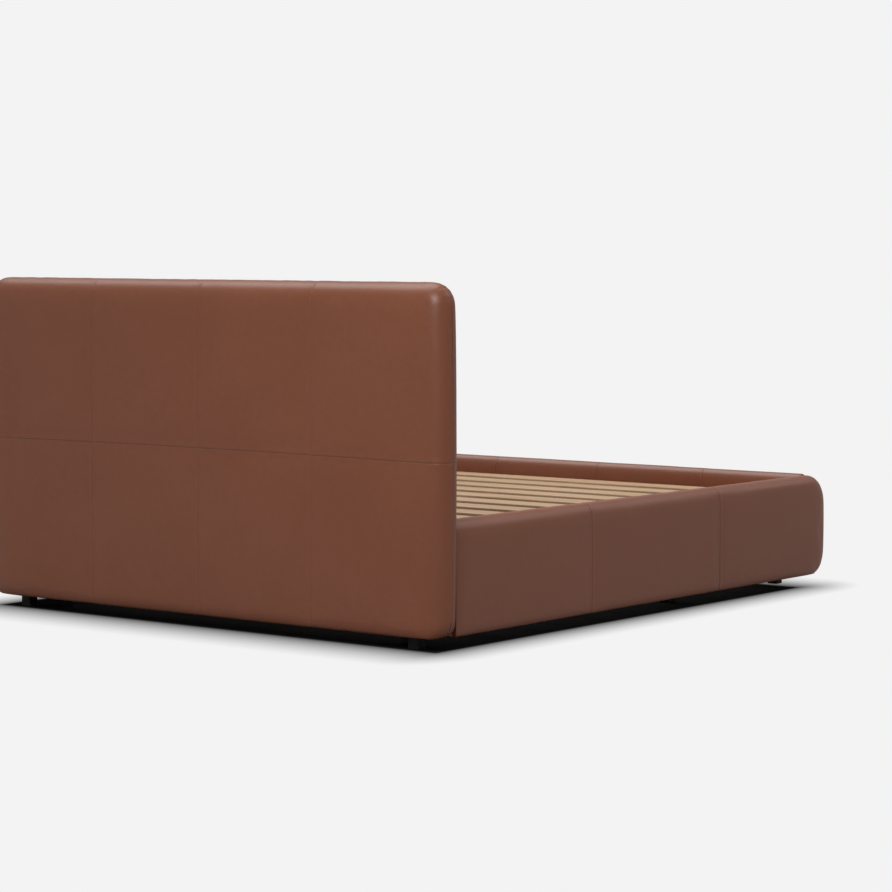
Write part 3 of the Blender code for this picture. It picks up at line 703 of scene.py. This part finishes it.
# %% [markdown]
# Leather over foam is never a plain slab: between its seams it swells a little, and more in
# the middle of a panel than near the thread. That is a job for the Cloth modifier. Pressure
# pushes the skin out while the seams are pinned, gravity is off, and after some frames the
# result is kept. This leather is tight, so a point may move only a few millimetres, straight
# out from the surface, and the skin starts that much smaller than the finished bed. A
# subdivision then evens it out.

# %% Let a skin swell
SWELL = 2.6 * MM
SWELL_FRAMES = 14
TIGHT_LEATHER = {"quality": 5, "mass": 0.3, "tension_stiffness": 40,
                 "compression_stiffness": 40, "shear_stiffness": 20, "bending_stiffness": 2,
                 "use_pressure": True, "uniform_pressure_force": 1.4,
                 "vertex_group_mass": "held"}


def swell(obj, held):
    """Blow the skin up like a cushion, held where told, and keep the result within SWELL."""
    start = points_of(obj)
    normals = read_vectors(obj.data.vertices, "normal")
    pins = obj.vertex_groups.new(name="held")
    pins.add([int(i) for i in np.flatnonzero(held)], 1.0, "REPLACE")
    cloth = obj.modifiers.new("leather over foam", "CLOTH")
    for key, value in TIGHT_LEATHER.items():
        setattr(cloth.settings, key, value)
    cloth.settings.effector_weights.gravity = 0
    cloth.point_cache.frame_end = SWELL_FRAMES
    for number in range(1, SWELL_FRAMES + 1):
        bpy.context.scene.frame_set(number)
    pick(obj)
    bpy.ops.object.modifier_apply(modifier=cloth.name)
    bpy.context.scene.frame_set(1)
    obj.vertex_groups.clear()
    moved = ((points_of(obj) - start) * normals).sum(axis=1)
    print(obj.name, "swelled by", [round(float(v) / MM, 1) for v in
                                   np.percentile(moved, (5, 25, 50, 75, 95))], "mm at first")
    kept = SWELL * np.tanh(np.clip(moved, 0, None) / SWELL)
    set_points(obj, start + normals * kept[:, None])


def relax(obj, held):
    swell(obj, held)
    apply_modifier(obj, "SUBSURF", levels=1, render_levels=1)


# %% [markdown]
# A plain seam pulls the leather in along a sharp line, and the folded seam allowance lifts
# one side a little. These shapes are finer than the lattice, so more lines are bisected
# beside each seam first. The same step writes down, for the material, how near each point is
# to a seam, its place along that seam, how dark the painted shade in its crease is, and how
# far the surface has turned round an edge.

# %% Draw the seams in
BESIDE_SEAM = (0.9 * MM, 2.0 * MM, 3.6 * MM, 6.0 * MM)
CREASE = 0.9 * MM
CREASE_WIDTH = 1.5 * MM
ALLOWANCE = 0.35 * MM
PUCKER, PUCKER_SIZE, PUCKER_REACH = 0.35 * MM, 30 * MM, 20 * MM
CREST_LIFE = 2.0
UNEVEN, UNEVEN_SIZE = 0.45 * MM, 210 * MM
RIPPLE, RIPPLE_SIZE = 0.4, 80 * MM
HIDE = 1.8 * MM


def wavering(rows, size, seed):
    """Smooth noise from -1 to 1 at each point, for features of about that size."""
    shift = Vector((seed * 7.3, seed * 3.1, seed * 5.7))
    return np.array([noise.noise(Vector(row) / size + shift) for row in rows])


def store(obj, name, values):
    layer = obj.data.attributes.new(name, "FLOAT", "POINT")
    layer.data.foreach_set("value", values)


def sew(obj, seams, seed, shaded_ends=0.0):
    """seams are (axis, place, shade, along): how dark the painted shade in the crease is, and
    a point's place along that seam.

    The surface counts as rubbed where it turns round an edge. Towards the ends shaded_ends
    takes that back, past nothing, so there the leather is painted darker: a painted shade.
    """
    for axis, place, *_ in seams:
        cut_lines(obj, axis, [place + side * gap for gap in BESIDE_SEAM for side in (-1, 1)])
    rows = points_of(obj)
    normals = read_vectors(obj.data.vertices, "normal")
    distances = np.stack([rows[:, axis] - place for axis, place, *_ in seams])
    away = np.abs(distances)
    nearest = away.min(axis=0)
    creases = np.exp(-(away / CREASE_WIDTH) ** 2)
    lifted = ALLOWANCE * np.exp(-((distances - 5.0 * MM) / (3.0 * MM)) ** 2).max(axis=0)
    lively = 1 + CREST_LIFE * np.abs(normals[:, 2])
    pucker = PUCKER * lively * wavering(rows, PUCKER_SIZE, seed)
    pucker *= np.exp(-nearest / PUCKER_REACH)
    uneven = UNEVEN * wavering(rows, UNEVEN_SIZE, seed + 1)
    uneven += RIPPLE * UNEVEN * lively * wavering(rows, RIPPLE_SIZE, seed + 2)
    drawn_in = CREASE * creases.max(axis=0) - lifted + pucker + uneven
    set_points(obj, rows - normals * drawn_in[:, None])
    places = np.stack([along(rows) for *_, along in seams])
    seam_shades = np.array([tone for _, _, tone, _ in seams])
    store(obj, "near_seam", nearest)
    store(obj, "along_seam", np.take_along_axis(places, away.argmin(axis=0)[None], 0)[0])
    # The painted shade in each crease, for the material.
    store(obj, "painted_crease_shade", (creases * seam_shades[:, None]).max(axis=0))
    # Rubbing round an edge, less the painted shade on the shaded ends.
    store(obj, "edge_rub_and_end_shade", 1 - np.abs(normals[:, 1]) - shaded_ends * np.abs(normals[:, 0]))


def up_and_over(rows):
    """A place along a seam that runs up a face and over the crest."""
    return rows[:, 2] - np.abs(rows[:, 1])


# %% [markdown]
# The headboard's leather is two shells sewn together round the edge, back and front. Each
# half starts as half of the slab, open at the middle plane, where the shells meet.

# %% The headboard's leather
HEADBOARD_EDGE = 56.0 * MM
HEADBOARD_BELLY, RAIL_BELLY = 7.0 * MM, 9.0 * MM
HEADBOARD_CORNERS = {(end, level): (68.0 if level > 0 else 66.0) * MM
                     for end in (-1, 1) for level in (-1, 1)}
PANEL_SEAMS = (-0.488, 0.0, 0.488)
CROSS_SEAM = 0.597
SHELL_GAP = 0.15 * MM
OUTLINE_INSET, UPPER_INSET, LOWER_INSET = -2.2 * MM, 0.6 * MM, 1.2 * MM
GATHER, GATHER_REACH, GATHER_FOLDS = 1.2 * MM, 18.0 * MM, 5
FOOT_ROOM = 1.0 * MM
SEAM_DROP, SEAM_DROP_REACH = 5.0 * MM, 160.0 * MM
# How dark each kind of seam's crease is painted: a painted shade.
PANEL_SEAM_SHADE, CROSS_SEAM_SHADE, RIM_SEAM_SHADE, RAIL_SEAM_SHADE = 0.09, 0.24, 0.28, 0.30
# How strongly the headboard's ends are painted darker, a painted shade.
SHADED_ENDS = 2.2

back_low, back_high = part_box("headboard_back_cover")
front_low, front_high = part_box("headboard_front_cover")
head_half_length = back_high.x
head_height = back_high.z - back_low.z
head_half_depth = (back_high.y - front_low.y) / 2
head_place = Vector((0, (back_high.y + front_low.y) / 2, back_low.z))


def half_slab(name, face, inset, face_inset, step, edge_step, seams_x=(), seams_z=()):
    """One half of the headboard's round slab, that much smaller in outline and in depth."""
    half_length, half_depth = head_half_length - inset, head_half_depth - face_inset
    top_inset, bottom_inset = max(inset, UPPER_INSET), max(inset, LOWER_INSET)
    height, edge = head_height - top_inset - bottom_inset, HEADBOARD_EDGE - face_inset
    corners = {key: radius - inset for key, radius in HEADBOARD_CORNERS.items()}
    ys = sorted((face * SHELL_GAP, face * half_depth))
    half = block(name, (-half_length, ys[0], 0), (half_length, ys[1], height))
    top, bottom = corners[1, 1], corners[1, -1]
    cut_lines(half, 0, lattice_lines(-half_length, half_length, seams_x, (top, top), step,
                                     edge_step))
    cut_lines(half, 1, spread(*ys, edge_step))
    cut_lines(half, 2, lattice_lines(0, height, [z - bottom_inset for z in seams_z], (bottom, top),
                                     step, edge_step))
    delete_faces(half, lambda middle: abs(middle.y) < 2 * SHELL_GAP)
    to_round_slab(half, half_length, height, half_depth, edge, corners)
    fill_out(half, height, edge, (-1, 1), HEADBOARD_BELLY)
    set_points(half, points_of(half) + (0, 0, bottom_inset))
    return half


def open_for_feet(half, face):
    """Cut an opening for each foot in the underside, a little wider than the foot."""
    foot_low, foot_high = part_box("headboard_left_foot")
    low, high = foot_low - head_place, foot_high - head_place
    inner, outer = -high.x - FOOT_ROOM, -low.x + FOOT_ROOM
    front, rear = low.y - FOOT_ROOM, high.y + FOOT_ROOM
    cut_lines(half, 0, [-outer, -inner, inner, outer])
    cut_lines(half, 1, [rear if face > 0 else front])
    delete_faces(half, lambda middle: inner < abs(middle.x) < outer
                 and front < middle.y < rear and middle.z < HEADBOARD_EDGE / 2)


def gather_corners(obj):
    """Small folds fan out from the rim at the upper corners, where the leather has too much."""
    rows = points_of(obj)
    normals = read_vectors(obj.data.vertices, "normal")
    radius = HEADBOARD_CORNERS[1, 1]
    out_x = np.abs(rows[:, 0]) - (head_half_length - radius)
    out_z = rows[:, 2] - (head_height - radius)
    turn = np.arctan2(out_z, out_x)
    near_rim = np.exp(-np.abs(rows[:, 1]) / GATHER_REACH)
    in_corner = np.clip(np.sin(2 * turn), 0, 1) * ((out_x > 0) & (out_z > 0))
    folds = GATHER * np.sin(GATHER_FOLDS * 4 * turn) * near_rim * in_corner
    set_points(obj, rows + normals * folds[:, None])


def drop_cross_seam(obj, cross_seam):
    """The cross seam hangs a few millimetres lower towards the ends."""
    rows = points_of(obj)
    near_seam = np.exp(-((rows[:, 2] - cross_seam) / SEAM_DROP_REACH) ** 2)
    outer = np.clip((np.abs(rows[:, 0]) - 0.25) / 0.75, 0, 1)
    rows[:, 2] -= SEAM_DROP * near_seam * outer
    set_points(obj, rows)


def round_the_rim(rows):
    """A place along the seam that runs all round the headboard."""
    return np.abs(rows[:, 0]) - np.abs(rows[:, 2] - head_height / 2)


def headboard_leather(name, face, node, seed):
    """One half of the headboard's leather: face 1 is the back, -1 the front."""
    cross_seam = CROSS_SEAM - head_place.z
    half = half_slab(name, face, OUTLINE_INSET, SWELL, EVEN_STEP, EDGE_STEP, PANEL_SEAMS,
                     [cross_seam])
    rows = points_of(half)
    held = np.abs(rows[:, 1]) < 2 * SHELL_GAP
    for seam in PANEL_SEAMS:
        held |= np.abs(rows[:, 0] - seam) < 0.1 * MM
    held |= np.abs(rows[:, 2] - cross_seam) < 0.1 * MM
    relax(half, held)
    open_for_feet(half, face)
    seams = [(0, seam, PANEL_SEAM_SHADE, up_and_over) for seam in PANEL_SEAMS]
    seams += [(2, cross_seam, CROSS_SEAM_SHADE, lambda rows: rows[:, 0]),
              (1, face * SHELL_GAP, RIM_SEAM_SHADE, round_the_rim)]
    sew(half, seams, seed, SHADED_ENDS)
    gather_corners(half)
    drop_cross_seam(half, cross_seam)
    apply_modifier(half, "SOLIDIFY", thickness=HIDE, offset=-1)
    half.location = head_place
    set_home(half)
    smooth(half, 60)
    finish_piece(half, LEATHER, [node])
    print(name, len(half.data.polygons), "faces")


headboard_leather("headboard_back_leather", 1, "headboard_back_cover", 1)
headboard_leather("headboard_front_leather", -1, "headboard_front_cover", 5)

# %% [markdown]
# Under the leather lies the foam, cut from sheet and glued over the panel and round the
# frame. It has the leather's form, a little smaller, and stops above the lower edge, where
# the leather is stapled. Nobody sees it in the finished bed, so its lattice is coarse.

# %% The headboard's foam
FOAM_START, FOAM_DEPTH = 6.6 * MM, 17.6 * MM
FOAM_HEM = 61.2 * MM
COARSE_STEP, COARSE_EDGE_STEP = 60.0 * MM, 12.0 * MM


def finish_foam(foam, node, turn=0, place=(0, 0, 0)):
    """Cut the foam's hem, give it its depth and put it in its place."""
    foam.rotation_euler = (0, 0, radians(turn))
    foam.location = place
    set_home(foam)
    open_edit(foam)
    bpy.ops.mesh.select_all(action="SELECT")
    bpy.ops.mesh.bisect(plane_co=(0, 0, FOAM_HEM), plane_no=(0, 0, 1), clear_inner=True)
    close_edit()
    apply_modifier(foam, "SOLIDIFY", thickness=FOAM_DEPTH, offset=-1, use_even_offset=True)
    smooth(foam, 50)
    finish_piece(foam, FOAM, [node])


for face, side in ((1, "back"), (-1, "front")):
    foam = half_slab(f"headboard_{side}_pad", face, FOAM_START, FOAM_START, COARSE_STEP,
                     COARSE_EDGE_STEP)
    finish_foam(foam, f"headboard_{side}_foam", 0, head_place)

# %% [markdown]
# A side rail is the same kind of sleeve, but one end stands against the headboard. There the
# leather is pulled over the end of the rail and turned in towards the board. The headboard's
# edge is round and the rail's end is soft, so the end follows that round edge a little way.
# The underside is left open in a strip where the leather is stapled to the board.

# %% One rail's sleeve
RAIL_EDGE = 39.0 * MM
RAIL_CORNERS = {(1, 1): 101.0 * MM, (1, -1): 108.0 * MM}
RAIL_SEAMS = (0.340, -0.440)
STAPLE_STRIP = 13.0 * MM
TURN_RADIUS = 5.0 * MM
TURNED_IN = 26.0 * MM
ROLL_ANGLES = (35, 65, 90)


def turn_in(obj, end, half_depth, height):
    """Roll the sleeve's open end over and inwards in a few steps."""
    rolls = [(TURN_RADIUS * sin(radians(angle)), TURN_RADIUS * (1 - cos(radians(angle))))
             for angle in ROLL_ANGLES]
    rolls += [(TURN_RADIUS, (TURN_RADIUS + TURNED_IN) / 2), (TURN_RADIUS, TURNED_IN)]
    open_edit(obj)
    close_edit()
    along = points_of(obj)[:, 0] * end
    select_points(obj, along > along.max() - 0.1 * MM)
    bpy.ops.object.mode_set(mode="EDIT")
    advance = inset = 0.0
    for next_advance, next_inset in rolls:
        step = end * (next_advance - advance)
        bpy.ops.mesh.extrude_region_move(TRANSFORM_OT_translate={"value": (step, 0, 0)})
        narrower = [(half - next_inset) / (half - inset) for half in (half_depth, height / 2)]
        bpy.ops.transform.resize(value=(1, *narrower), center_override=(0, 0, height / 2))
        advance, inset = next_advance, next_inset
    close_edit()


def rail_sleeve(name, half_length, height, half_depth, seams, corners, open_ends, seed):
    """A rail's sleeve along X, standing on Z = 0."""
    half_length, half_depth = half_length - SWELL, half_depth - SWELL
    height, edge = height - 2 * SWELL, RAIL_EDGE - SWELL
    corners = {key: radius - SWELL for key, radius in corners.items()}
    ends = {end: half_length - (TURN_RADIUS - SWELL if end in open_ends else 0)
            for end in (-1, 1)}
    sleeve = block(name, (-ends[-1], -half_depth, 0), (ends[1], half_depth, height))
    turning = [0 if end in open_ends else corners[end, 1] for end in (-1, 1)]
    cut_lines(sleeve, 0, lattice_lines(-ends[-1], ends[1], seams, turning))
    beside = [STAPLE_STRIP, *spread(STAPLE_STRIP, half_depth, EDGE_STEP)]
    cut_lines(sleeve, 1, [0, *beside, *(-y for y in beside)])
    cut_lines(sleeve, 2, lattice_lines(0, height, (), (edge, edge)))
    strip_end = half_length - (RAIL_CORNERS[1, -1] if corners else 0)

    def unwanted(middle):
        cap = any(middle.x * end > ends[end] - 0.1 * MM for end in open_ends)
        return cap or (abs(middle.y) < STAPLE_STRIP and middle.z < 0.1 * MM
                       and middle.x < strip_end)

    delete_faces(sleeve, unwanted)
    round_ends = [end for end in (-1, 1) if end not in open_ends]
    to_round_slab(sleeve, half_length, height, half_depth, edge, corners, round_ends,
                  FULLER_RAIL)
    fill_out(sleeve, height, edge, round_ends, RAIL_BELLY)
    for end in open_ends:
        turn_in(sleeve, end, half_depth, height)
    rows = points_of(sleeve) + (0, 0, SWELL)
    set_points(sleeve, rows)
    held = (np.abs(rows[:, 1]) < STAPLE_STRIP + 1 * MM) & (rows[:, 2] < height / 2)
    for end in open_ends:
        held |= rows[:, 0] * end > ends[end] - EVEN_STEP / 2
    for seam in seams:
        held |= np.abs(rows[:, 0] - seam) < 0.1 * MM
    relax(sleeve, held)
    sew(sleeve, [(0, seam, RAIL_SEAM_SHADE, up_and_over) for seam in seams], seed)
    return sleeve


def place_rail(sleeve, turn, place, node):
    """Thickness, place and finish for a sleeve."""
    apply_modifier(sleeve, "SOLIDIFY", thickness=HIDE, offset=-1)
    sleeve.rotation_euler = (0, 0, radians(turn))
    sleeve.location = place
    set_home(sleeve)
    smooth(sleeve, 60)
    finish_piece(sleeve, LEATHER, [node])
    print(sleeve.name, len(sleeve.data.polygons), "faces")


# %% The side rails, the right one a mirror image of the left
left_low, left_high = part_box("left_rail_cover")
right_low, right_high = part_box("right_rail_cover")
rail_middle = (left_low + left_high) / 2
rail_half_length = (left_high.y - left_low.y) / 2
rail_half_depth = (left_high.x - left_low.x) / 2
rail_height = left_high.z - left_low.z
NESTLE_REACH = 80.0 * MM
END_CLEARANCE = 0.8 * MM


def nestle(sleeve):
    """Press the soft end against the headboard's round edge."""
    rows = points_of(sleeve)
    out_x = -(rail_middle.x + rows[:, 1]) - (head_half_length - HEADBOARD_EDGE)
    out_x = np.clip(out_x, 0, HEADBOARD_EDGE)
    depth = HEADBOARD_EDGE - np.sqrt(HEADBOARD_EDGE ** 2 - out_x ** 2)
    far = np.clip((rows[:, 0] + rail_half_length) / NESTLE_REACH, 0, 1)
    rows[:, 0] -= (depth - END_CLEARANCE) * (1 - far) ** 2
    set_points(sleeve, rows)


seams_from_middle = [rail_middle.y - seam for seam in RAIL_SEAMS]
left_sleeve = rail_sleeve("left_rail_leather", rail_half_length, rail_height, rail_half_depth,
                          seams_from_middle, RAIL_CORNERS, (-1,), 11)
nestle(left_sleeve)
right_sleeve = left_sleeve.copy()
right_sleeve.data = left_sleeve.data.copy()
right_sleeve.name = "right_rail_leather"
bpy.context.scene.collection.objects.link(right_sleeve)
set_points(right_sleeve, points_of(right_sleeve) * (1, -1, 1))
right_sleeve.data.flip_normals()
place_rail(left_sleeve, -90, (rail_middle.x, rail_middle.y, left_low.z), "left_rail_cover")
place_rail(right_sleeve, -90, ((right_low.x + right_high.x) / 2, rail_middle.y, right_low.z),
           "right_rail_cover")

# %% The foot rail, between the side rails
foot_low, foot_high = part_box("foot_rail_cover")
foot_sleeve = rail_sleeve("foot_rail_leather", foot_high.x, rail_height,
                          (foot_high.y - foot_low.y) / 2, PANEL_SEAMS, {}, (-1, 1), 17)
place_rail(foot_sleeve, 180, (0, (foot_low.y + foot_high.y) / 2, left_low.z), "foot_rail_cover")

# %% [markdown]
# The rails' foam wraps their boards in the same way. At the headboard's end it stops a few
# millimetres short, where the leather turns in over it.

# %% The rails' foam
FOAM_END = 4.0 * MM


def rail_pad(name, half_length, corners, open_ends):
    """A coarse foam sleeve that fits inside a rail's leather, along X."""
    ends = {end: half_length - (FOAM_END if end in open_ends else FOAM_START)
            for end in (-1, 1)}
    half_depth, height = rail_half_depth - FOAM_START, rail_height - 2 * FOAM_START
    edge = RAIL_EDGE - FOAM_START
    corners = {key: radius - FOAM_START for key, radius in corners.items()}
    pad = block(name, (-ends[-1], -half_depth, 0), (ends[1], half_depth, height))
    turning = [0 if end in open_ends else corners[end, 1] for end in (-1, 1)]
    cut_lines(pad, 0, lattice_lines(-ends[-1], ends[1], (), turning, COARSE_STEP,
                                    COARSE_EDGE_STEP))
    cut_lines(pad, 1, spread(-half_depth, half_depth, COARSE_EDGE_STEP))
    cut_lines(pad, 2, lattice_lines(0, height, (), (edge, edge), COARSE_STEP, COARSE_EDGE_STEP))
    delete_faces(pad, lambda middle: any(middle.x * end > ends[end] - 0.1 * MM
                                         for end in open_ends))
    round_ends = [end for end in (-1, 1) if end not in open_ends]
    to_round_slab(pad, ends[1], height, half_depth, edge, corners, round_ends, FULLER_RAIL)
    fill_out(pad, height, edge, round_ends, RAIL_BELLY)
    set_points(pad, points_of(pad) + (0, 0, FOAM_START))
    return pad


for side, low, high in (("left", left_low, left_high), ("right", right_low, right_high)):
    pad = rail_pad(f"{side}_rail_pad", rail_half_length, RAIL_CORNERS, (-1,))
    finish_foam(pad, f"{side}_rail_foam", -90, ((low.x + high.x) / 2, rail_middle.y, low.z))
pad = rail_pad("foot_rail_pad", foot_high.x, {}, (-1, 1))
finish_foam(pad, "foot_rail_foam", 180, (0, (foot_low.y + foot_high.y) / 2, left_low.z))

# %% [markdown]
# Slats, ledgers, posts and the centre beam are sawn timber with eased edges. Each is a block
# at the size of its solid whose edges are bevelled, so the light catches them.

# %% Timber


def eased_timber(node, finish, edge):
    """A board with rounded edges in place of its plain solid."""
    piece = block(node + "_eased", *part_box(node))
    apply_modifier(piece, "BEVEL", width=edge, segments=3, limit_method="ANGLE")
    smooth(piece)
    finish_piece(piece, finish, [node])


SLAT_EDGE = 3.5 * MM
TIMBER_EDGE = 2.0 * MM
for node in sorted(frame["nodes"]):
    if node.startswith("slat_"):
        eased_timber(node, BEECH, SLAT_EDGE)
for axis, nodes in (("X", ("head_ledger", "foot_ledger", "headboard_top_rail",
                           "headboard_bottom_rail")),
                    ("Y", ("left_ledger", "right_ledger", "centre_beam")),
                    ("Z", ("headboard_left_post", "headboard_right_post",
                           "headboard_centre_post"))):
    for node in nodes:
        eased_timber(node, PINE[axis], TIMBER_EDGE)

# %% [markdown]
# Screws, bolts and staples hold it all together. Each kind is modelled once, with its head on
# the origin facing up, and then copied. The screws have a cross recess, cut with two bars;
# the bolts have a hexagonal head on a washer.

# %% One screw, one bolt and one staple
SCREW_RADIUS = 4.2 * MM
BOLT_RADIUS, WASHER_RADIUS, WASHER = 7.4 * MM, 9.5 * MM, 1.5 * MM


def disc(name, sides, radius, low, high, edge):
    """A short cylinder or prism with bevelled edges."""
    bpy.ops.object.select_all(action="DESELECT")
    bpy.ops.mesh.primitive_cylinder_add(vertices=sides, radius=radius, depth=high - low,
                                        location=(0, 0, (low + high) / 2))
    obj = bpy.context.object
    obj.name = name
    set_home(obj)
    apply_modifier(obj, "BEVEL", width=edge, segments=2, limit_method="ANGLE")
    return obj


def join(pieces, name):
    pick(pieces[0])
    for piece in pieces[1:]:
        piece.select_set(True)
    bpy.ops.object.join()
    pieces[0].name = name
    return pieces[0]


screw = disc("screw", 24, SCREW_RADIUS, -1.2 * MM, 0.6 * MM, 0.4 * MM)
for half_x, half_y in ((2.7 * MM, 0.5 * MM), (0.5 * MM, 2.7 * MM)):
    bar = block("recess", (-half_x, -half_y, -0.5 * MM), (half_x, half_y, 2 * MM))
    apply_modifier(screw, "BOOLEAN", operation="DIFFERENCE", object=bar, solver="EXACT")
    bpy.data.objects.remove(bar)
bolt = join([disc("washer", 28, WASHER_RADIUS, 0, WASHER, 0.3 * MM),
             disc("hexagon", 6, BOLT_RADIUS, WASHER, WASHER + 5 * MM, 0.6 * MM)], "bolt")
staple = block("staple", (-5 * MM, -0.6 * MM, -0.1 * MM), (5 * MM, 0.6 * MM, 0.5 * MM))
apply_modifier(staple, "BEVEL", width=0.25 * MM, segments=2, limit_method="ANGLE")


def fix(name, pattern, places, facing):
    """Copies of a fastener at those places, facing that way, joined into one piece."""
    copies = []
    for place in places:
        one = pattern.copy()
        one.data = pattern.data.copy()
        one.location = place
        one.rotation_euler = Vector(facing).to_track_quat("Z", "Y").to_euler()
        bpy.context.scene.collection.objects.link(one)
        copies.append(one)
    piece = join(copies, name)
    set_home(piece)
    smooth(piece, 40)
    finish_piece(piece, STEEL)


# %% Screws in the slats and ledgers, bolts in the corner brackets
SLAT_SCREWS_X = (-0.886, 0.0, 0.886)
LEDGER_SCREWS_Y = (-0.9, -0.6, -0.28, 0.0, 0.3, 0.6, 0.9)
LEDGER_SCREWS_X = (-0.6, -0.3, 0.3, 0.6)
BOLTS_Z = (0.145, 0.185)
STEEL_SHEET = 2.5 * MM
for node in sorted(frame["nodes"]):
    if node.startswith("slat_"):
        low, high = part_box(node)
        fix(node + "_screws", screw, [(x, (low.y + high.y) / 2, high.z)
                                      for x in SLAT_SCREWS_X], (0, 0, 1))
for side, way in (("left", 1), ("right", -1)):
    low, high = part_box(f"{side}_ledger")
    face = high.x if way > 0 else low.x
    fix(f"{side}_ledger_screws", screw, [(face, y, (low.z + high.z) / 2)
                                         for y in LEDGER_SCREWS_Y], (way, 0, 0))
    low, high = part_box(f"{side}_corner_bracket")
    face = low.x + STEEL_SHEET if way > 0 else high.x - STEEL_SHEET
    fix(f"{side}_rail_bolts", bolt, [(face, high.y - 0.018, z) for z in BOLTS_Z], (way, 0, 0))
    outer = high.x - 0.018 if way > 0 else low.x + 0.018
    fix(f"{side}_foot_bolts", bolt, [(outer, low.y + STEEL_SHEET, z) for z in BOLTS_Z],
        (0, 1, 0))
for end, way in (("head", -1), ("foot", 1)):
    low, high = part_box(f"{end}_ledger")
    face = high.y if way > 0 else low.y
    fix(f"{end}_ledger_screws", screw, [(x, face, (low.z + high.z) / 2)
                                        for x in LEDGER_SCREWS_X], (0, way, 0))

# %% [markdown]
# Under each rail the leather's raw edges are stapled to the board. A strip of black
# non-woven cloth covers the board between them and sags a hair between its own staples.

# %% Dust strips under the rails
DUST_CLOTH = skin_finish("black dust cloth", (0.012, 0.012, 0.012), (0.030, 0.030, 0.031),
                         (0.05, 0.05, 0.05), 0.0, 0.95, 900, 0.0, 0.12)
STRIP_HALF, STRIP_END, CLOTH_THICKNESS, SAG = 11.0 * MM, 3.0 * MM, 0.3 * MM, 0.4 * MM
STAPLE_STEP = 80.0 * MM


def dust_strip(board, axis):
    """A strip of cloth and its staples under a board that runs along that axis."""
    low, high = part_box(board)
    middle = (low + high) / 2
    low[axis] += STRIP_END
    high[axis] -= STRIP_END
    for corner, way in ((low, -1), (high, 1)):
        corner[1 - axis] = middle[1 - axis] + way * STRIP_HALF
    high.z = low.z
    low.z -= CLOTH_THICKNESS
    cloth = block(board + "_dust_strip", low, high)
    length = high[axis] - low[axis]
    staples = round(length / STAPLE_STEP)
    step = length / staples
    cut_lines(cloth, axis, spread(low[axis], high[axis], step / 4))
    rows = points_of(cloth)
    rows[:, 2] -= SAG * np.sin(pi * (rows[:, axis] - low[axis]) / step) ** 2
    set_points(cloth, rows)
    finish_piece(cloth, DUST_CLOTH)
    places = []
    for number in range(1, staples):
        place = Vector((middle.x, middle.y, low.z))
        place[axis] = low[axis] + number * step
        places.append(place)
    fix(board + "_staples", staple, places, (0, 0, -1))
    print(cloth.name, round(2 * STRIP_HALF / MM), "x", round(length / MM), "mm")


dust_strip("left_rail_board", 1)
dust_strip("right_rail_board", 1)
dust_strip("foot_rail_board", 0)
for pattern in (screw, bolt, staple):
    bpy.data.objects.remove(pattern)

# %% The solids that keep their shape get their finish
SLOT_FINISH = {"black_lacquer": LACQUER, "zinc_steel": STEEL, "black_plastic": NYLON,
               "plywood": PLYWOOD, "foam": FOAM}
slot_of = {part["node"]: part["material_slot"] for part in frame["record"]["subparts"]}
for node, obj in frame["nodes"].items():
    finish = SLOT_FINISH.get(slot_of[node])
    if finish:
        obj.data.materials.clear()
        obj.data.materials.append(finish)
